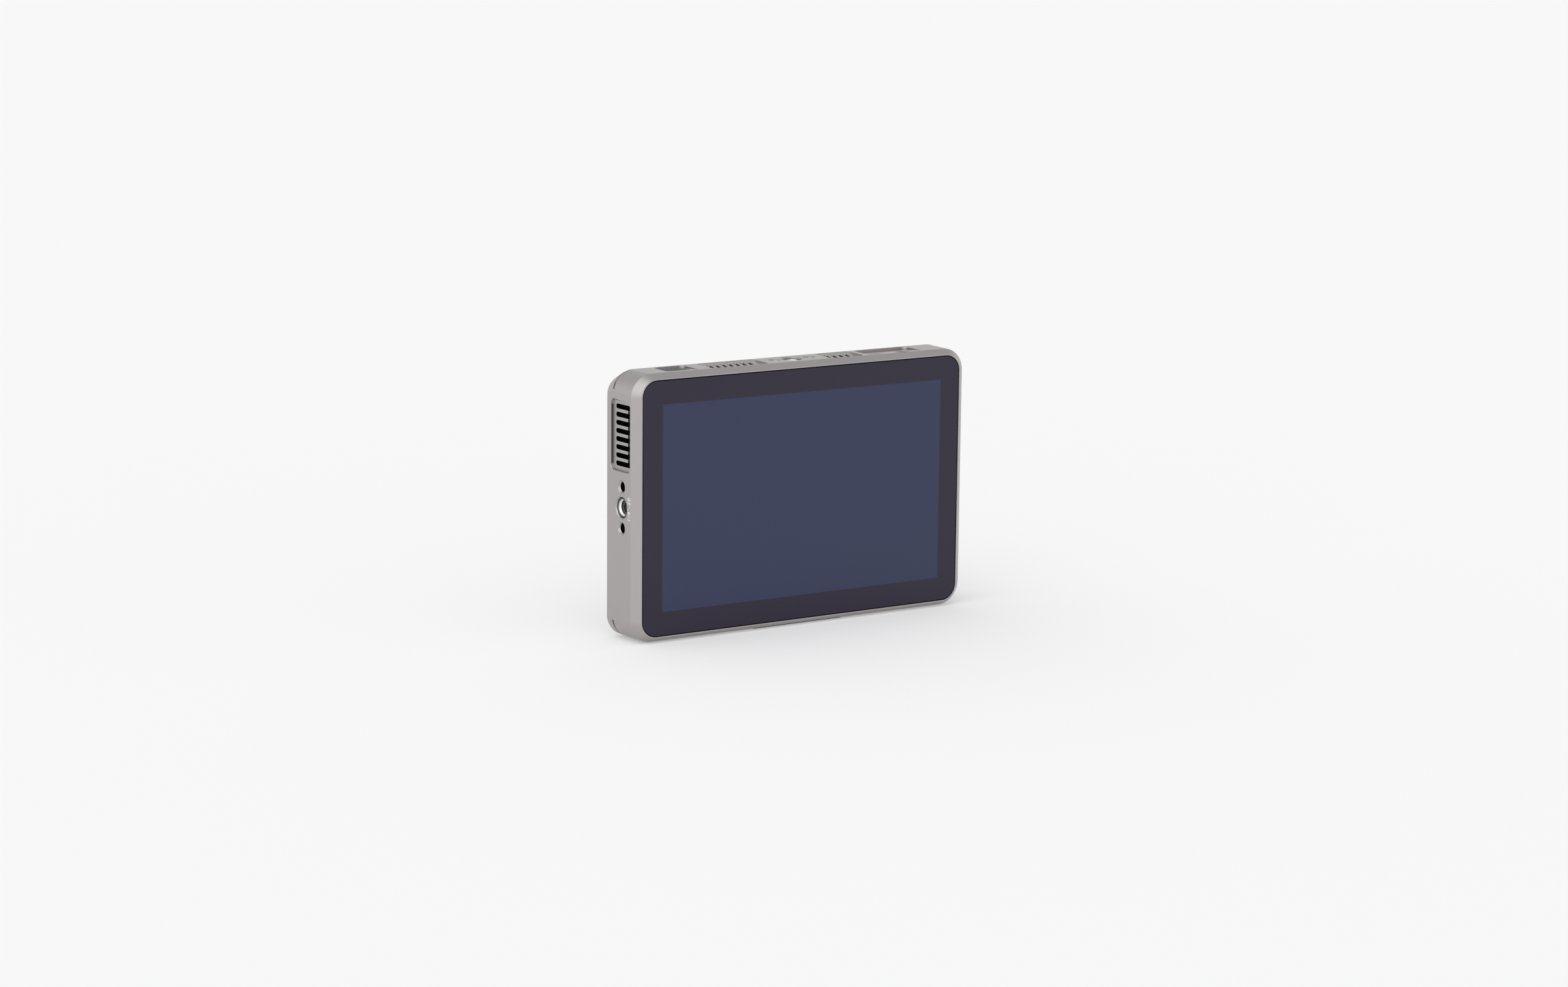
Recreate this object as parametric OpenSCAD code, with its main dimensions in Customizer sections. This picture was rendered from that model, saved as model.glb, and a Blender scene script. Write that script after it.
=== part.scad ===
// Seven-inch camera field monitor: aluminium housing, bonded glass front, vents and camera
// threads in its sides, two battery plates on its back. Millimetres.
// X runs along the width, Y from the screen to the back, Z up. The origin lies under the middle
// of the body, on the surface it stands on. "Depth" always counts from the front plane.

/* [Body] */
// Width of the housing
body_w = 180; // [174:1:190]
// Height of the housing
body_h = 122; // [118:1:130]
// Depth of the housing from its front plane to its rear face
body_d = 25; // [24:0.5:28]
// Radius of the corners seen from the front
corner_r = 10.6; // [9:0.2:12]
// Radius of the corners at the rear face
rear_corner_r = 8.2; // [7:0.2:10]
// Thickness of the side walls
wall_t = 3; // [2.6:0.1:3.4]
// Depth at which the flat top ends and its rear bevel begins
top_flat_end = 19.4; // [18.8:0.2:20]
// Drop of the top bevel at the rear face
top_bevel_drop = 3.2; // [2:0.2:4]
// Depth at which the flat underside ends
base_flat_end = 23.4; // [22:0.2:23.6]
// Rise of the lower bevel at the rear face
base_bevel_rise = 1.2; // [0.8:0.1:2]
// Width of the small chamfer round the rear face
rear_edge = 0.6; // [0.3:0.1:0.8]

/* [Front] */
// Border of the housing left and right of the glass opening
border_w = 4.1; // [3.8:0.1:5]
// Border of the housing above and below the glass opening
border_h = 2.65; // [2.4:0.05:4]
// Corner radius of the glass opening
opening_r = 7.5; // [6:0.1:9]
// Width of the thin flat lip round the glass
lip_w = 0.5; // [0.3:0.1:0.8]
// Depth of the front chamfer
chamfer_d = 3.6; // [3:0.1:4]
// Thickness of the cover glass
glass_t = 1.1; // [0.7:0.1:1.2]
// Set-back of the glass from the front plane
glass_setback = 0.1; // [0:0.05:0.2]
// Gap between the glass and the lip, filled by the gasket
gasket_gap = 0.4; // [0.3:0.05:0.6]
// Thickness of the gasket under the glass
gasket_t = 0.15; // [0.1:0.05:0.3]
// Thickness of the ledge that carries the glass
ledge_t = 1.15; // [1:0.05:1.4]

/* [Display] */
// Dark border between the glass opening and the picture area, left and right
bezel_w = 10.5; // [9:0.1:12]
// Dark border between the glass opening and the picture area, above and below
bezel_h = 11.2; // [10:0.1:12.5]
// Border of the liquid-crystal panel outside the picture area
panel_border = 3.7; // [3:0.1:4]
// Gap between the liquid-crystal panel and the ledge round it
panel_gap = 1.3; // [0.8:0.1:1.8]
// Thickness of the liquid-crystal panel
panel_t = 1.3; // [1:0.1:1.6]
// Extra width and height of the backlight tray over the panel
backlight_extra = 1.5; // [1:0.1:2]
// Thickness of the backlight tray
backlight_t = 2.7; // [2.2:0.1:3]

/* [Camera threads] */
// Depth of the thread and pin axes behind the front plane
thread_depth = 11.7; // [11.2:0.1:12.2]
// Radius of the tapped bore of a quarter-inch thread
thread_r = 2.6; // [2.5:0.05:2.7]
// Outer radius of the steel thread insert
insert_r = 4.65; // [4.4:0.05:4.8]
// Length of the steel thread insert
insert_l = 7; // [6:0.5:7.5]
// Set-back of the insert from the outer surface
insert_setback = 0.6; // [0.4:0.1:0.8]
// Radius of the countersink round the insert
insert_sink_r = 5.3; // [5.15:0.05:5.5]
// Distance between the two locating-pin holes
pin_spacing = 18.8; // [18:0.1:19.4]
// Radius of a locating-pin hole
pin_r = 2.2; // [2:0.05:2.3]
// Depth of a locating-pin hole
pin_l = 4.5; // [4:0.25:6]
// Radius of the countersink of a locating-pin hole
pin_sink_r = 3.15; // [3:0.05:3.3]
// Wall left round and behind the thread and pin holes
thread_block_wall = 1.2; // [1:0.1:1.6]

/* [Vents] */
// Depth where a vent recess begins at the front
vent_front = 4.2; // [4:0.1:4.6]
// Distance from the end of the left vent recess to the rear face
left_vent_margin = 3.6; // [3.2:0.1:4.4]
// Distance from the end of the top recesses to the end of the flat top
top_vent_margin = 1; // [0.8:0.1:1.8]
// How far a vent's floor lies below the surface at its front
vent_front_sink = 2.3; // [2.1:0.1:2.4]
// How far the left vent's floor lies below the surface at its rear
left_vent_rear_sink = 1.3; // [1.1:0.1:1.5]
// How far the top vents' floors lie below the surface at their rear
top_vent_rear_sink = 0.2; // [0.2:0.1:0.5]
// How far the recesses of the button and of the ports sink at their rear end
recess_sink = 1.5; // [1.2:0.1:1.8]
// Corner radius of a vent recess
vent_corner_r = 2.4; // [2:0.1:3]
// Width of a slot in the left vent
left_slot_w = 2.15; // [1.8:0.05:2.4]
// Distance from slot to slot in the left vent
left_slot_pitch = 3.69; // [3.4:0.01:3.9]
// Number of slots in the left vent
left_slot_count = 8; // [6:1:8]
// Height of the middle of the left vent above the middle of the body
left_vent_z = 32.3; // [31.8:0.1:33]
// Width of a slot in the top vents
top_slot_w = 1.9; // [1.6:0.05:2.1]
// Distance from slot to slot in the top vents
top_slot_pitch = 3.47; // [3.2:0.01:3.6]
// Number of slots in the long top vent
long_vent_slots = 7; // [5:1:7]
// Number of slots in the short top vent
short_vent_slots = 4; // [3:1:4]
// Place of the middle of the long top vent across the width
long_vent_x = -32; // [-33:0.1:-31.6]
// Place of the middle of the short top vent across the width
short_vent_x = 26; // [25.6:0.1:26.4]
// Margin from the last slot to the end of a recess
vent_margin = 4; // [3:0.1:4.2]
// Thickness of the dust screens behind the vents
screen_t = 0.5; // [0.3:0.1:0.8]

/* [Top controls] */
// Place of the power button across the width
button_x = -62.2; // [-64:0.2:-61.4]
// Length of the power button
button_w = 12; // [11:0.5:12]
// Depth-wise size of the power button
button_l = 8; // [7:0.5:8]
// Set-back of the power button below the top face
button_setback = 0.9; // [0.7:0.1:1.2]
// Travel of the power button
button_travel = 0.5; // [0.3:0.1:0.5]
// Gap round a moving button
button_gap = 0.2; // [0.15:0.05:0.3]
// Length of the recess round the power button
button_recess_w = 16; // [15.5:0.5:17]
// Left end of the port recess
port_recess_x0 = 38; // [37.6:0.1:38.4]
// Right end of the port recess
port_recess_x1 = 67.5; // [67:0.5:68]
// Place of the USB port across the width
usb_x = 43.8; // [43.4:0.2:45]
// Place of the headphone jack across the width
jack_x = 58.4; // [57.8:0.2:59]
// Radius of the headphone jack's bore
jack_r = 1.8; // [1.75:0.05:1.85]
// Radius of the headphone jack's collar
jack_collar_r = 3; // [2.8:0.1:3.2]
// Radius of the countersink round the headphone jack
jack_sink_r = 4.6; // [4:0.1:4.6]

/* [Side ports] */
// Height of the video input above the middle of the body
video_in_z = 22; // [20:0.5:24]
// Height of the video output above the middle of the body
video_out_z = -2; // [-3:0.5:0]
// Height of the power inlet above the middle of the body
inlet_z = -26; // [-28:0.5:-24]
// Outer width of a video port shell
video_shell_w = 15; // [14.8:0.1:15.4]
// Outer height of a video port shell
video_shell_h = 5.6; // [5.5:0.05:5.8]
// Depth of a video port shell
video_shell_l = 11.5; // [10.5:0.5:12]
// Wall of the port shells
shell_t = 0.4; // [0.3:0.05:0.5]
// Outer radius of the power inlet
inlet_r = 4; // [3.8:0.1:4.1]
// Radius of the power inlet's socket
inlet_socket_r = 2.8; // [2.7:0.05:2.9]

/* [Battery plates] */
// Distance of each battery plate's middle from the middle of the body
plate_x = 23.5; // [22.5:0.5:25]
// Width of a battery plate
plate_w = 41; // [40:0.5:42]
// Height of a battery plate
plate_h = 72; // [71:0.5:74]
// Thickness of a battery plate's base
plate_base_t = 4.3; // [4.2:0.1:4.6]
// Height of the hooks above the base
hook_h = 2.2; // [2:0.1:2.4]
// Clear width between the hooks, where the battery slides
battery_w = 35.4; // [35:0.2:35.8]
// Travel of a battery release button
release_travel = 1.4; // [1:0.1:1.5]
// Width of a battery release button
release_w = 9.4; // [8.5:0.1:10]
// Height of a battery release button
release_h = 5.4; // [5:0.1:6]

/* [Standing] */
// Width of the rubber pad under the body
pad_w = 49.5; // [46:0.5:52]
// Depth-wise size of the rubber pad
pad_l = 17.4; // [16.6:0.2:17.8]
// Thickness of the rubber pad
pad_t = 0.8; // [0.7:0.1:1]
// How far the pad stands out below the housing
pad_proud = 0.4; // [0.3:0.1:0.5]

/* [Hood anchors] */
// Width of the groove across each corner
groove_w = 1.7; // [1.4:0.1:1.9]
// Depth at which the groove begins
groove_front = 18.5; // [18.3:0.1:18.8]
// How far the groove cuts into the round corner
groove_cut = 1.3; // [1:0.1:1.5]
// How much deeper the pocket at the groove's side end is
groove_pocket = 0.8; // [0.4:0.1:0.9]

/* [Boards and cooling] */
// Depth of the main board's front face
board_depth = 9.2; // [9.2:0.05:9.3]
// Thickness of the circuit boards
board_t = 1.2; // [1:0.1:1.2]
// Thickness of the middle frame
frame_t = 1.2; // [1:0.1:1.3]
// Side of the square fan
fan_side = 40; // [38:0.5:40]
// Thickness of the fan
fan_t = 8; // [7.5:0.25:8]
// Radius of the fan's wheel
rotor_r = 16.6; // [15:0.1:17]
// Radius of the fan's fixed spindle
spindle_r = 1.5; // [1.4:0.05:1.6]
// Running clearance between the spindle and the wheel
spindle_gap = 0.05; // [0.03:0.01:0.08]
// Number of blades on the fan's wheel
blade_count = 11; // [7:2:13]
// Number of fins on the heat sink
fin_count = 9; // [6:1:10]

/* [Fasteners] */
// Radius of a screw's shank
screw_r = 1; // [0.9:0.05:1.05]
// Radius of a screw's head
screw_head_r = 1.9; // [1.8:0.05:1.95]
// Height of a screw's head
screw_head_h = 1; // [0.8:0.1:1.1]
// Gap between a shank and its tapped hole
screw_gap = 0.02; // [0.01:0.01:0.04]
// Gap between a shank and a plain through hole
screw_clear = 0.1; // [0.06:0.02:0.2]

/* [Hidden] */

$fn = 48;
hair = 0.01;        // thickness of the slices that a hull spans
over = 1;           // how far a cut runs past a surface
seat_gap = 0.02;    // press-in gap round inserts, pads and pins
fit_gap = 0.2;      // gap round a port in its window

// stack of depths, front to back
total_d = body_d + plate_base_t + hook_h;
front_y = -total_d / 2;
mid_z = pad_proud + body_h / 2;
glass_back = glass_setback + glass_t;
ledge_front = glass_back + gasket_t;
ledge_back = ledge_front + ledge_t;
opening_w = body_w - 2 * border_w;
opening_h = body_h - 2 * border_h;
active_w = opening_w - 2 * bezel_w;
active_h = opening_h - 2 * bezel_h;
panel_w = active_w + 2 * panel_border;
panel_h = active_h + 2 * panel_border;
tray_w = panel_w + backlight_extra;
tray_h = panel_h + backlight_extra;
ledge_open_w = panel_w + 2 * panel_gap;
ledge_open_h = panel_h + 2 * panel_gap;
ledge_open_r = 3;
panel_back = glass_back + panel_t;
backlight_back = panel_back + backlight_t;
frame_back = backlight_back + frame_t;
board_back = board_depth + board_t;
cover_t = 2.2;
cover_front = body_d - cover_t;
rim_t = 3.4;
rim_front = cover_front - rim_t;
plate_face = body_d + plate_base_t;

// inside of the housing
cavity_w = body_w - 2 * wall_t;
cavity_h = body_h - 2 * wall_t;
cavity_r = 6;
cover_w = body_w - 14;
cover_h = body_h - 16;
cover_r = 5;
rim_w = 5;

// camera thread blocks
block_l = insert_setback + insert_l + thread_block_wall;
block_half = pin_spacing / 2 + pin_sink_r + thread_block_wall - 0.5;
block_half_d = insert_sink_r + thread_block_wall;
pin_sink_l = 0.95;
insert_mouth_r = 3.3;
insert_mouth_l = 0.8;

// left vent, and the slots' depth range
left_vent_rear = body_d - left_vent_margin;
top_vent_rear = top_flat_end - top_vent_margin;
left_vent_len = (left_slot_count - 1) * left_slot_pitch + left_slot_w + vent_margin - 0.2;
slot_front = vent_front + 0.5;
left_slot_rear = left_vent_rear - 2.6;
top_slot_rear = top_vent_rear - 2.2;
link_groove_front = vent_front + 3.1;
link_groove_w = 2;
link_groove_l = vent_front_sink + 0.25;
link_groove_len = (left_slot_count - 1) * left_slot_pitch;
long_vent_len = (long_vent_slots - 1) * top_slot_pitch + top_slot_w + 2 * vent_margin;
short_vent_len = (short_vent_slots - 1) * top_slot_pitch + top_slot_w + 1.6 * vent_margin;

// top controls
top_z = body_h / 2;
button_depth = (vent_front + top_vent_rear) / 2;
button_cap_l = wall_t - button_setback + button_gap;
flange_margin = 1.2;
flange_t = 0.8;
stem_r = 1.6;
stem_gap = 0.15;
switch_depth = board_back + 2;
switch_top = top_z - 8.2;
usb_w = 8.94;
usb_h = 3.26;
usb_l = 7.4;
usb_setback = 1;
jack_depth = 8;
jack_w = 6.4;
jack_d = 5.4;
jack_l = 12;
jack_setback = 0.8;
jack_bottom = top_z - wall_t - jack_l;

// side ports
side_setback = 0.6;
video_depth = board_back + video_shell_h / 2;
inlet_depth = board_back + inlet_r;
inlet_l = 11;

// battery plates and release buttons
hook_w = 1.9;
hook_lip = 1;
hook_lip_t = 0.8;
hook_l = 7;
hook_zs = [-12, 16];
block_h = 10;
contact_xs = [-12, 0, 12];
contact_w = 0.9;
contact_t = 1.1;
contact_z = -plate_h / 2 + 5;
contact_gap = 0.3;
contact_top = plate_face + hook_h - 0.4;
blade_l = 7;
release_z = 27.5;
release_skin = 1.2;
release_flange = 1.2;
plate_screw_at = [[-14.5, 6], [14.5, 6], [-14.5, -20], [14.5, -20]];
plate_screw_r = 1.2;
plate_head_r = 2.2;
plate_head_h = 1.3;
plate_screw_bite = 1.8;

// boards
frame_hole_x = 50;
frame_hole_z = -20;
frame_hole_r = 9;
board_left = block_l + 1.2 - body_w / 2;
board_right = body_w / 2 - wall_t - 2;
board_h = 2 * (top_z - 6);
fan_bay_gap = 0.6;
power_board_t = board_t;
power_board_back = cover_front - 1;
power_board_side = 19;
power_board_w = 2 * (plate_x + power_board_side);
power_board_h = 18;
power_screw_x = power_board_w / 2 - 3;
cover_post_r = 2.4;
power_board_z = contact_z + 1;
display_cable_w = 20;
display_cable_z = 6 - tray_h / 2;
display_socket_z = display_cable_z + 3.5;
socket_t = 1.6;
socket_h = 4;
socket_side = 2;
power_cable_w = 12;
power_cable_x = 27;
power_socket_z = power_board_z - 5;
power_socket_t = 2.4;
power_socket_h = 5;

// fan, standing behind the left vent
fan_x = -(cover_w / 2 - rim_w - fan_side / 2 - 0.6);
fan_z = cover_h / 2 - rim_w - fan_side / 2 - 1.4;
fan_back = cover_front - 3.2;
fan_front = fan_back - fan_t;
fan_skin = 1;
fan_cavity_r = 18;
fan_inlet_r = 13;
fan_screw_at = [[-17.2, -17.2], [17.2, -17.2], [17.2, 17.2]];
hub_r = 7;
blade_t = 0.8;
blade_inset = 0.2;
wheel_gap = 0.4;
rear_vent_l = 24;
rear_vent_w = 2.2;
rear_vent_pitch = 4.6;

// processor and heat sink
sink_w = 40;
sink_h = 34;
sink_gap = 7.4;
chip_x = fan_x + fan_side / 2 + sink_gap + sink_w / 2;
chip_z = 24;
chip_w = 15;
chip_t = 1.5;
small_chip_w = 10;
small_chip_h = 8;
small_chip_t = 1;
small_chip_at = [[24, 30], [24, 16], [40, 30], [40, 16], [58, 6], [-30, -10], [-52, -16]];
sink_base_t = 1.8;
fin_t = 1.2;
fin_h = 5.6;

// screw places, seen from the front: [x, z] from the middle of the body; a bite is a thread's reach
screw_bite = 2.2;
fan_screw_bite = 3;
power_screw_bite = 1.6;
frame_post_r = 2.4;
post_gap = 0.9;
side_post_x = tray_w / 2 + post_gap + frame_post_r;
side_post_z = 30;
top_post_x = 33;
top_post_z = tray_h / 2 + post_gap + frame_post_r;
frame_screw_at = [for (sx = [-1, 1], sz = [-1, 1]) [sx * side_post_x, sz * side_post_z],
    for (sx = [-1, 1], sz = [-1, 1]) [sx * top_post_x, sz * top_post_z]];
board_edge = 7;
board_top = board_h / 2;
board_screw_at = [[board_left + board_edge, board_edge - board_top], [button_x + 8, board_top - 4.6],
    [17, 9 - board_top], [2, board_top - 8.6], [board_right - board_edge, board_edge - board_top],
    [board_right - 2 * board_edge, board_top - 2 * board_edge]];
standoff_r = 2.6;
cover_corner_inset = 3.4;
cover_mid_inset = 2.6;
cover_mid_x = 30;
cover_screw_at = [for (sx = [-1, 1], sz = [-1, 1])
    [sx * (cover_w / 2 - cover_corner_inset), sz * (cover_h / 2 - cover_corner_inset)],
    for (sx = [-1, 1], sz = [-1, 1]) [sx * cover_mid_x, sz * (cover_h / 2 - cover_mid_inset)]];

// ---------------------------------------------------------------- shared shapes

// rectangle with round corners, drawn about its middle
module rounded_rect(w, h, r) {
    square([w - 2 * r, h], center = true);
    square([w, h - 2 * r], center = true);
    for (sx = [-1, 1], sz = [-1, 1])
        translate([sx * (w / 2 - r), sz * (h / 2 - r)]) circle(r = r);
}

// stadium shape of width w whose ends lie at y0 and y1
module stadium(w, y0, y1) {
    translate([-w / 2, y0 + w / 2]) square([w, y1 - y0 - w]);
    for (y = [y0 + w / 2, y1 - w / 2]) translate([0, y]) circle(r = w / 2);
}

// a slice parallel to the screen, from depth d0 over thickness t; x and z from the middle
module slab(d0, t) {
    translate([0, front_y + d0 + t, mid_z]) rotate([90, 0, 0]) linear_extrude(height = t) children();
}

// frames on the four sides: local x along the side, y the depth, z outwards
module on_top(x) {
    translate([x, front_y, mid_z + body_h / 2]) children();
}
module on_bottom(x) {
    translate([x, front_y, mid_z - body_h / 2]) mirror([0, 0, 1]) children();
}
module on_left(z) {
    translate([-body_w / 2, front_y, mid_z + z]) rotate([0, -90, 0]) children();
}
module on_right(z) {
    translate([body_w / 2, front_y, mid_z + z]) rotate([0, 90, 0]) children();
}

// pocket whose floor runs from sink0 below the surface at depth d0 to sink1 below it at d1
module ramp_pocket(len, d0, d1, sink0, sink1) {
    deepest = max(sink0, sink1);
    intersection() {
        translate([0, (d0 + d1) / 2, -deepest - over])
            linear_extrude(height = deepest + 2 * over) rounded_rect(len, d1 - d0, vent_corner_r);
        rotate([90, 0, 90]) translate([0, 0, -len / 2 - over]) linear_extrude(height = len + 2 * over)
            polygon([[d0 - over, -sink0], [d0, -sink0], [d1 - 0.4, -sink1], [d1 + over, -sink1],
                [d1 + over, 2 * over], [d0 - over, 2 * over]]);
    }
}

// row of slots cut through a side wall
module slot_row(count, pitch, w, d0, d1) {
    for (i = [0 : count - 1])
        translate([(i - (count - 1) / 2) * pitch, 0, -wall_t - over])
            linear_extrude(height = wall_t + 2 * over) stadium(w, d0, d1);
}

// the holes of one camera thread: insert seat, countersinks and the two locating-pin holes
module thread_holes() {
    translate([0, thread_depth, 0]) {
        translate([0, 0, -insert_setback - insert_l])
            cylinder(r = insert_r + seat_gap, h = insert_l + 2 * over);
        translate([0, 0, -insert_setback])
            cylinder(r1 = insert_r + seat_gap, r2 = insert_sink_r, h = insert_setback);
        for (s = [-1, 1]) translate([s * pin_spacing / 2, 0, 0]) {
            translate([0, 0, -pin_l]) cylinder(r = pin_r, h = pin_l + over);
            translate([0, 0, -pin_sink_l]) cylinder(r1 = pin_r, r2 = pin_sink_r, h = pin_sink_l);
        }
    }
}

// solid block inside the wall that the thread and pin holes sit in
module thread_block(root) {
    translate([-block_half, thread_depth - block_half_d, -block_l])
        cube([2 * block_half, 2 * block_half_d, block_l - root]);
}

// steel insert with a tapped bore and an opened mouth
module thread_insert() {
    translate([0, thread_depth, -insert_setback - insert_l]) difference() {
        cylinder(r = insert_r, h = insert_l);
        translate([0, 0, -over]) cylinder(r = thread_r, h = insert_l + 2 * over);
        translate([0, 0, insert_l - insert_mouth_l])
            cylinder(r1 = thread_r, r2 = insert_mouth_r, h = insert_mouth_l + hair);
    }
}

// screw along the depth axis, its head towards the back, the head's underside at depth d
module screw(x, z, d, l, r = screw_r, head_r = screw_head_r, head_h = screw_head_h) {
    translate([x, front_y + d, mid_z + z]) rotate([-90, 0, 0]) difference() {
        union() {
            translate([0, 0, -l]) cylinder(r = r, h = l);
            cylinder(r = head_r, h = head_h);
        }
        translate([0, 0, head_h - 0.5]) cylinder(r = head_r * 0.5, h = 1, $fn = 6);
    }
}

// round hole or post along the depth axis
module peg(x, z, d0, d1, r) {
    translate([x, front_y + d0, mid_z + z]) rotate([-90, 0, 0]) cylinder(r = r, h = d1 - d0);
}

// upright box: x range, depth range, z range about the middle
module brick(x0, x1, d0, d1, z0, z1) {
    translate([x0, front_y + d0, mid_z + z0]) cube([x1 - x0, d1 - d0, z1 - z0]);
}

// ---------------------------------------------------------------- housing

// outside of the housing, before anything is cut from it
module housing_outside() {
    rear_h = body_h - top_bevel_drop - base_bevel_rise;
    rear_shift = (base_bevel_rise - top_bevel_drop) / 2;
    low_drop = top_bevel_drop * (base_flat_end - top_flat_end) / (body_d - top_flat_end);
    hull() {
        slab(0, hair) rounded_rect(opening_w + 2 * lip_w, opening_h + 2 * lip_w, opening_r + lip_w);
        slab(chamfer_d, hair) rounded_rect(body_w, body_h, corner_r);
        slab(top_flat_end, hair) rounded_rect(body_w, body_h, corner_r - 0.6);
        slab(base_flat_end, hair) translate([0, -low_drop / 2])
            rounded_rect(body_w, body_h - low_drop, rear_corner_r + 0.8);
        slab(body_d - rear_edge, hair) translate([0, rear_shift])
            rounded_rect(body_w, rear_h, rear_corner_r);
        slab(body_d - hair, hair) translate([0, rear_shift])
            rounded_rect(body_w - 2 * rear_edge, rear_h - 2 * rear_edge, rear_corner_r - rear_edge);
    }
}

// groove across one corner for the sun hood's elastic loop; placed at the top left corner
module corner_groove() {
    reach = corner_r - groove_cut;
    translate([-(body_w / 2 - corner_r), front_y + groove_front, mid_z + body_h / 2 - corner_r]) {
        rotate([0, 45, 0]) translate([-reach - 8, 0, -12]) cube([8, groove_w, 24]);
        rotate([0, 22, 0]) translate([-reach - 4, 0, -1.7]) cube([4 + groove_pocket, groove_w, 3.4]);
        rotate([0, 68, 0]) translate([-reach - 4, 0, -1.2]) cube([4 + groove_pocket / 2, groove_w, 2.4]);
    }
}

// repeats its child at the four corners
module four_corners() {
    for (sx = [0, 1], sz = [0, 1])
        translate([0, 0, sz * 2 * mid_z]) mirror([0, 0, sz]) mirror([sx, 0, 0]) children();
}

module housing() {
    color([0.64, 0.63, 0.63]) difference() {
        union() {
            difference() {
                housing_outside();
                slab(-over, over + ledge_front) rounded_rect(opening_w, opening_h, opening_r);
                slab(ledge_front - over, ledge_t + 2 * over)
                    rounded_rect(ledge_open_w, ledge_open_h, ledge_open_r);
                slab(ledge_back, rim_front - ledge_back) rounded_rect(cavity_w, cavity_h, cavity_r);
                slab(rim_front - over, rim_t + 2 * over)
                    rounded_rect(cover_w - 2 * rim_w, cover_h - 2 * rim_w, cover_r - 2);
                slab(cover_front, cover_t + over) rounded_rect(cover_w, cover_h, cover_r);
            }
            on_left(0) thread_block(wall_t - hair);
            on_top(0) thread_block(wall_t - hair);
            on_bottom(0) thread_block(wall_t - hair);
            for (p = frame_screw_at) peg(p[0], p[1], ledge_back - hair, backlight_back, frame_post_r);
        }
        on_left(0) thread_holes();
        on_top(0) thread_holes();
        on_bottom(0) thread_holes();
        on_left(left_vent_z) ramp_pocket(
            left_vent_len, vent_front, left_vent_rear, vent_front_sink, left_vent_rear_sink);
        on_left(left_vent_z)
            slot_row(left_slot_count, left_slot_pitch, left_slot_w, slot_front, left_slot_rear);
        on_left(left_vent_z) translate([-link_groove_len / 2, link_groove_front, -link_groove_l])
            cube([link_groove_len, link_groove_w, link_groove_l + over]);
        on_top(long_vent_x) ramp_pocket(
            long_vent_len, vent_front, top_vent_rear, vent_front_sink, top_vent_rear_sink);
        on_top(long_vent_x)
            slot_row(long_vent_slots, top_slot_pitch, top_slot_w, slot_front, top_slot_rear);
        on_top(short_vent_x) ramp_pocket(
            short_vent_len, vent_front, top_vent_rear, vent_front_sink, top_vent_rear_sink);
        on_top(short_vent_x)
            slot_row(short_vent_slots, top_slot_pitch, top_slot_w, slot_front, top_slot_rear);
        on_top(button_x) ramp_pocket(button_recess_w, vent_front, top_vent_rear, 0, recess_sink);
        on_top(button_x) translate([0, button_depth, -wall_t - over])
            linear_extrude(height = wall_t + 2 * over)
                rounded_rect(button_w + 2 * button_gap, button_l + 2 * button_gap, 2);
        on_top((port_recess_x0 + port_recess_x1) / 2)
            ramp_pocket(port_recess_x1 - port_recess_x0, vent_front, top_vent_rear, 0, recess_sink);
        on_top(usb_x) translate([0, board_depth - usb_h / 2, -wall_t - over])
            linear_extrude(height = wall_t + 2 * over)
                rounded_rect(usb_w + 2 * fit_gap, usb_h + 2 * fit_gap, usb_h / 2 + fit_gap - hair);
        on_top(jack_x) translate([0, jack_depth, -wall_t - over])
            cylinder(r = jack_collar_r + fit_gap, h = wall_t + 2 * over);
        on_top(jack_x) translate([0, jack_depth, -1.2])
            cylinder(r1 = jack_collar_r + fit_gap, r2 = jack_sink_r, h = 1.2);
        for (z = [video_in_z, video_out_z])
            on_right(z) translate([0, video_depth, -wall_t / 2])
                cube([video_shell_w + 2 * fit_gap, video_shell_h + 2 * fit_gap, wall_t + 2 * over],
                    center = true);
        on_right(inlet_z) translate([0, inlet_depth, -inlet_l - side_setback - over])
            cylinder(r = inlet_r + fit_gap, h = inlet_l + side_setback + 2 * over);
        on_bottom(0) translate([0, vent_front + pad_l / 2, pad_proud - pad_t])
            linear_extrude(height = pad_t) rounded_rect(pad_w + 2 * seat_gap, pad_l + 2 * seat_gap, 2);
        for (p = frame_screw_at)
            peg(p[0], p[1], ledge_back + 0.2, backlight_back + over, screw_r + screw_gap);
        for (p = cover_screw_at) peg(p[0], p[1], rim_front + 0.6, cover_front + over, screw_r + screw_gap);
        four_corners() corner_groove();
    }
}

module bottom_pad() {
    color([0.09, 0.09, 0.1]) on_bottom(0) difference() {
        translate([0, vent_front + pad_l / 2, pad_proud - pad_t]) linear_extrude(height = pad_t)
            rounded_rect(pad_w, pad_l, 2 - seat_gap);
        translate([0, thread_depth, -over]) cylinder(r = insert_sink_r + 0.4, h = 3 * over);
        for (s = [-1, 1]) translate([s * pin_spacing / 2, thread_depth, -over])
            cylinder(r = pin_sink_r + 0.3, h = 3 * over);
    }
}

// ---------------------------------------------------------------- front stack

module cover_glass() {
    glass_w = opening_w - 2 * gasket_gap;
    glass_h = opening_h - 2 * gasket_gap;
    glass_r = opening_r - gasket_gap;
    color([0.08, 0.08, 0.1]) slab(glass_setback, glass_t) rounded_rect(glass_w, glass_h, glass_r);
}

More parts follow.
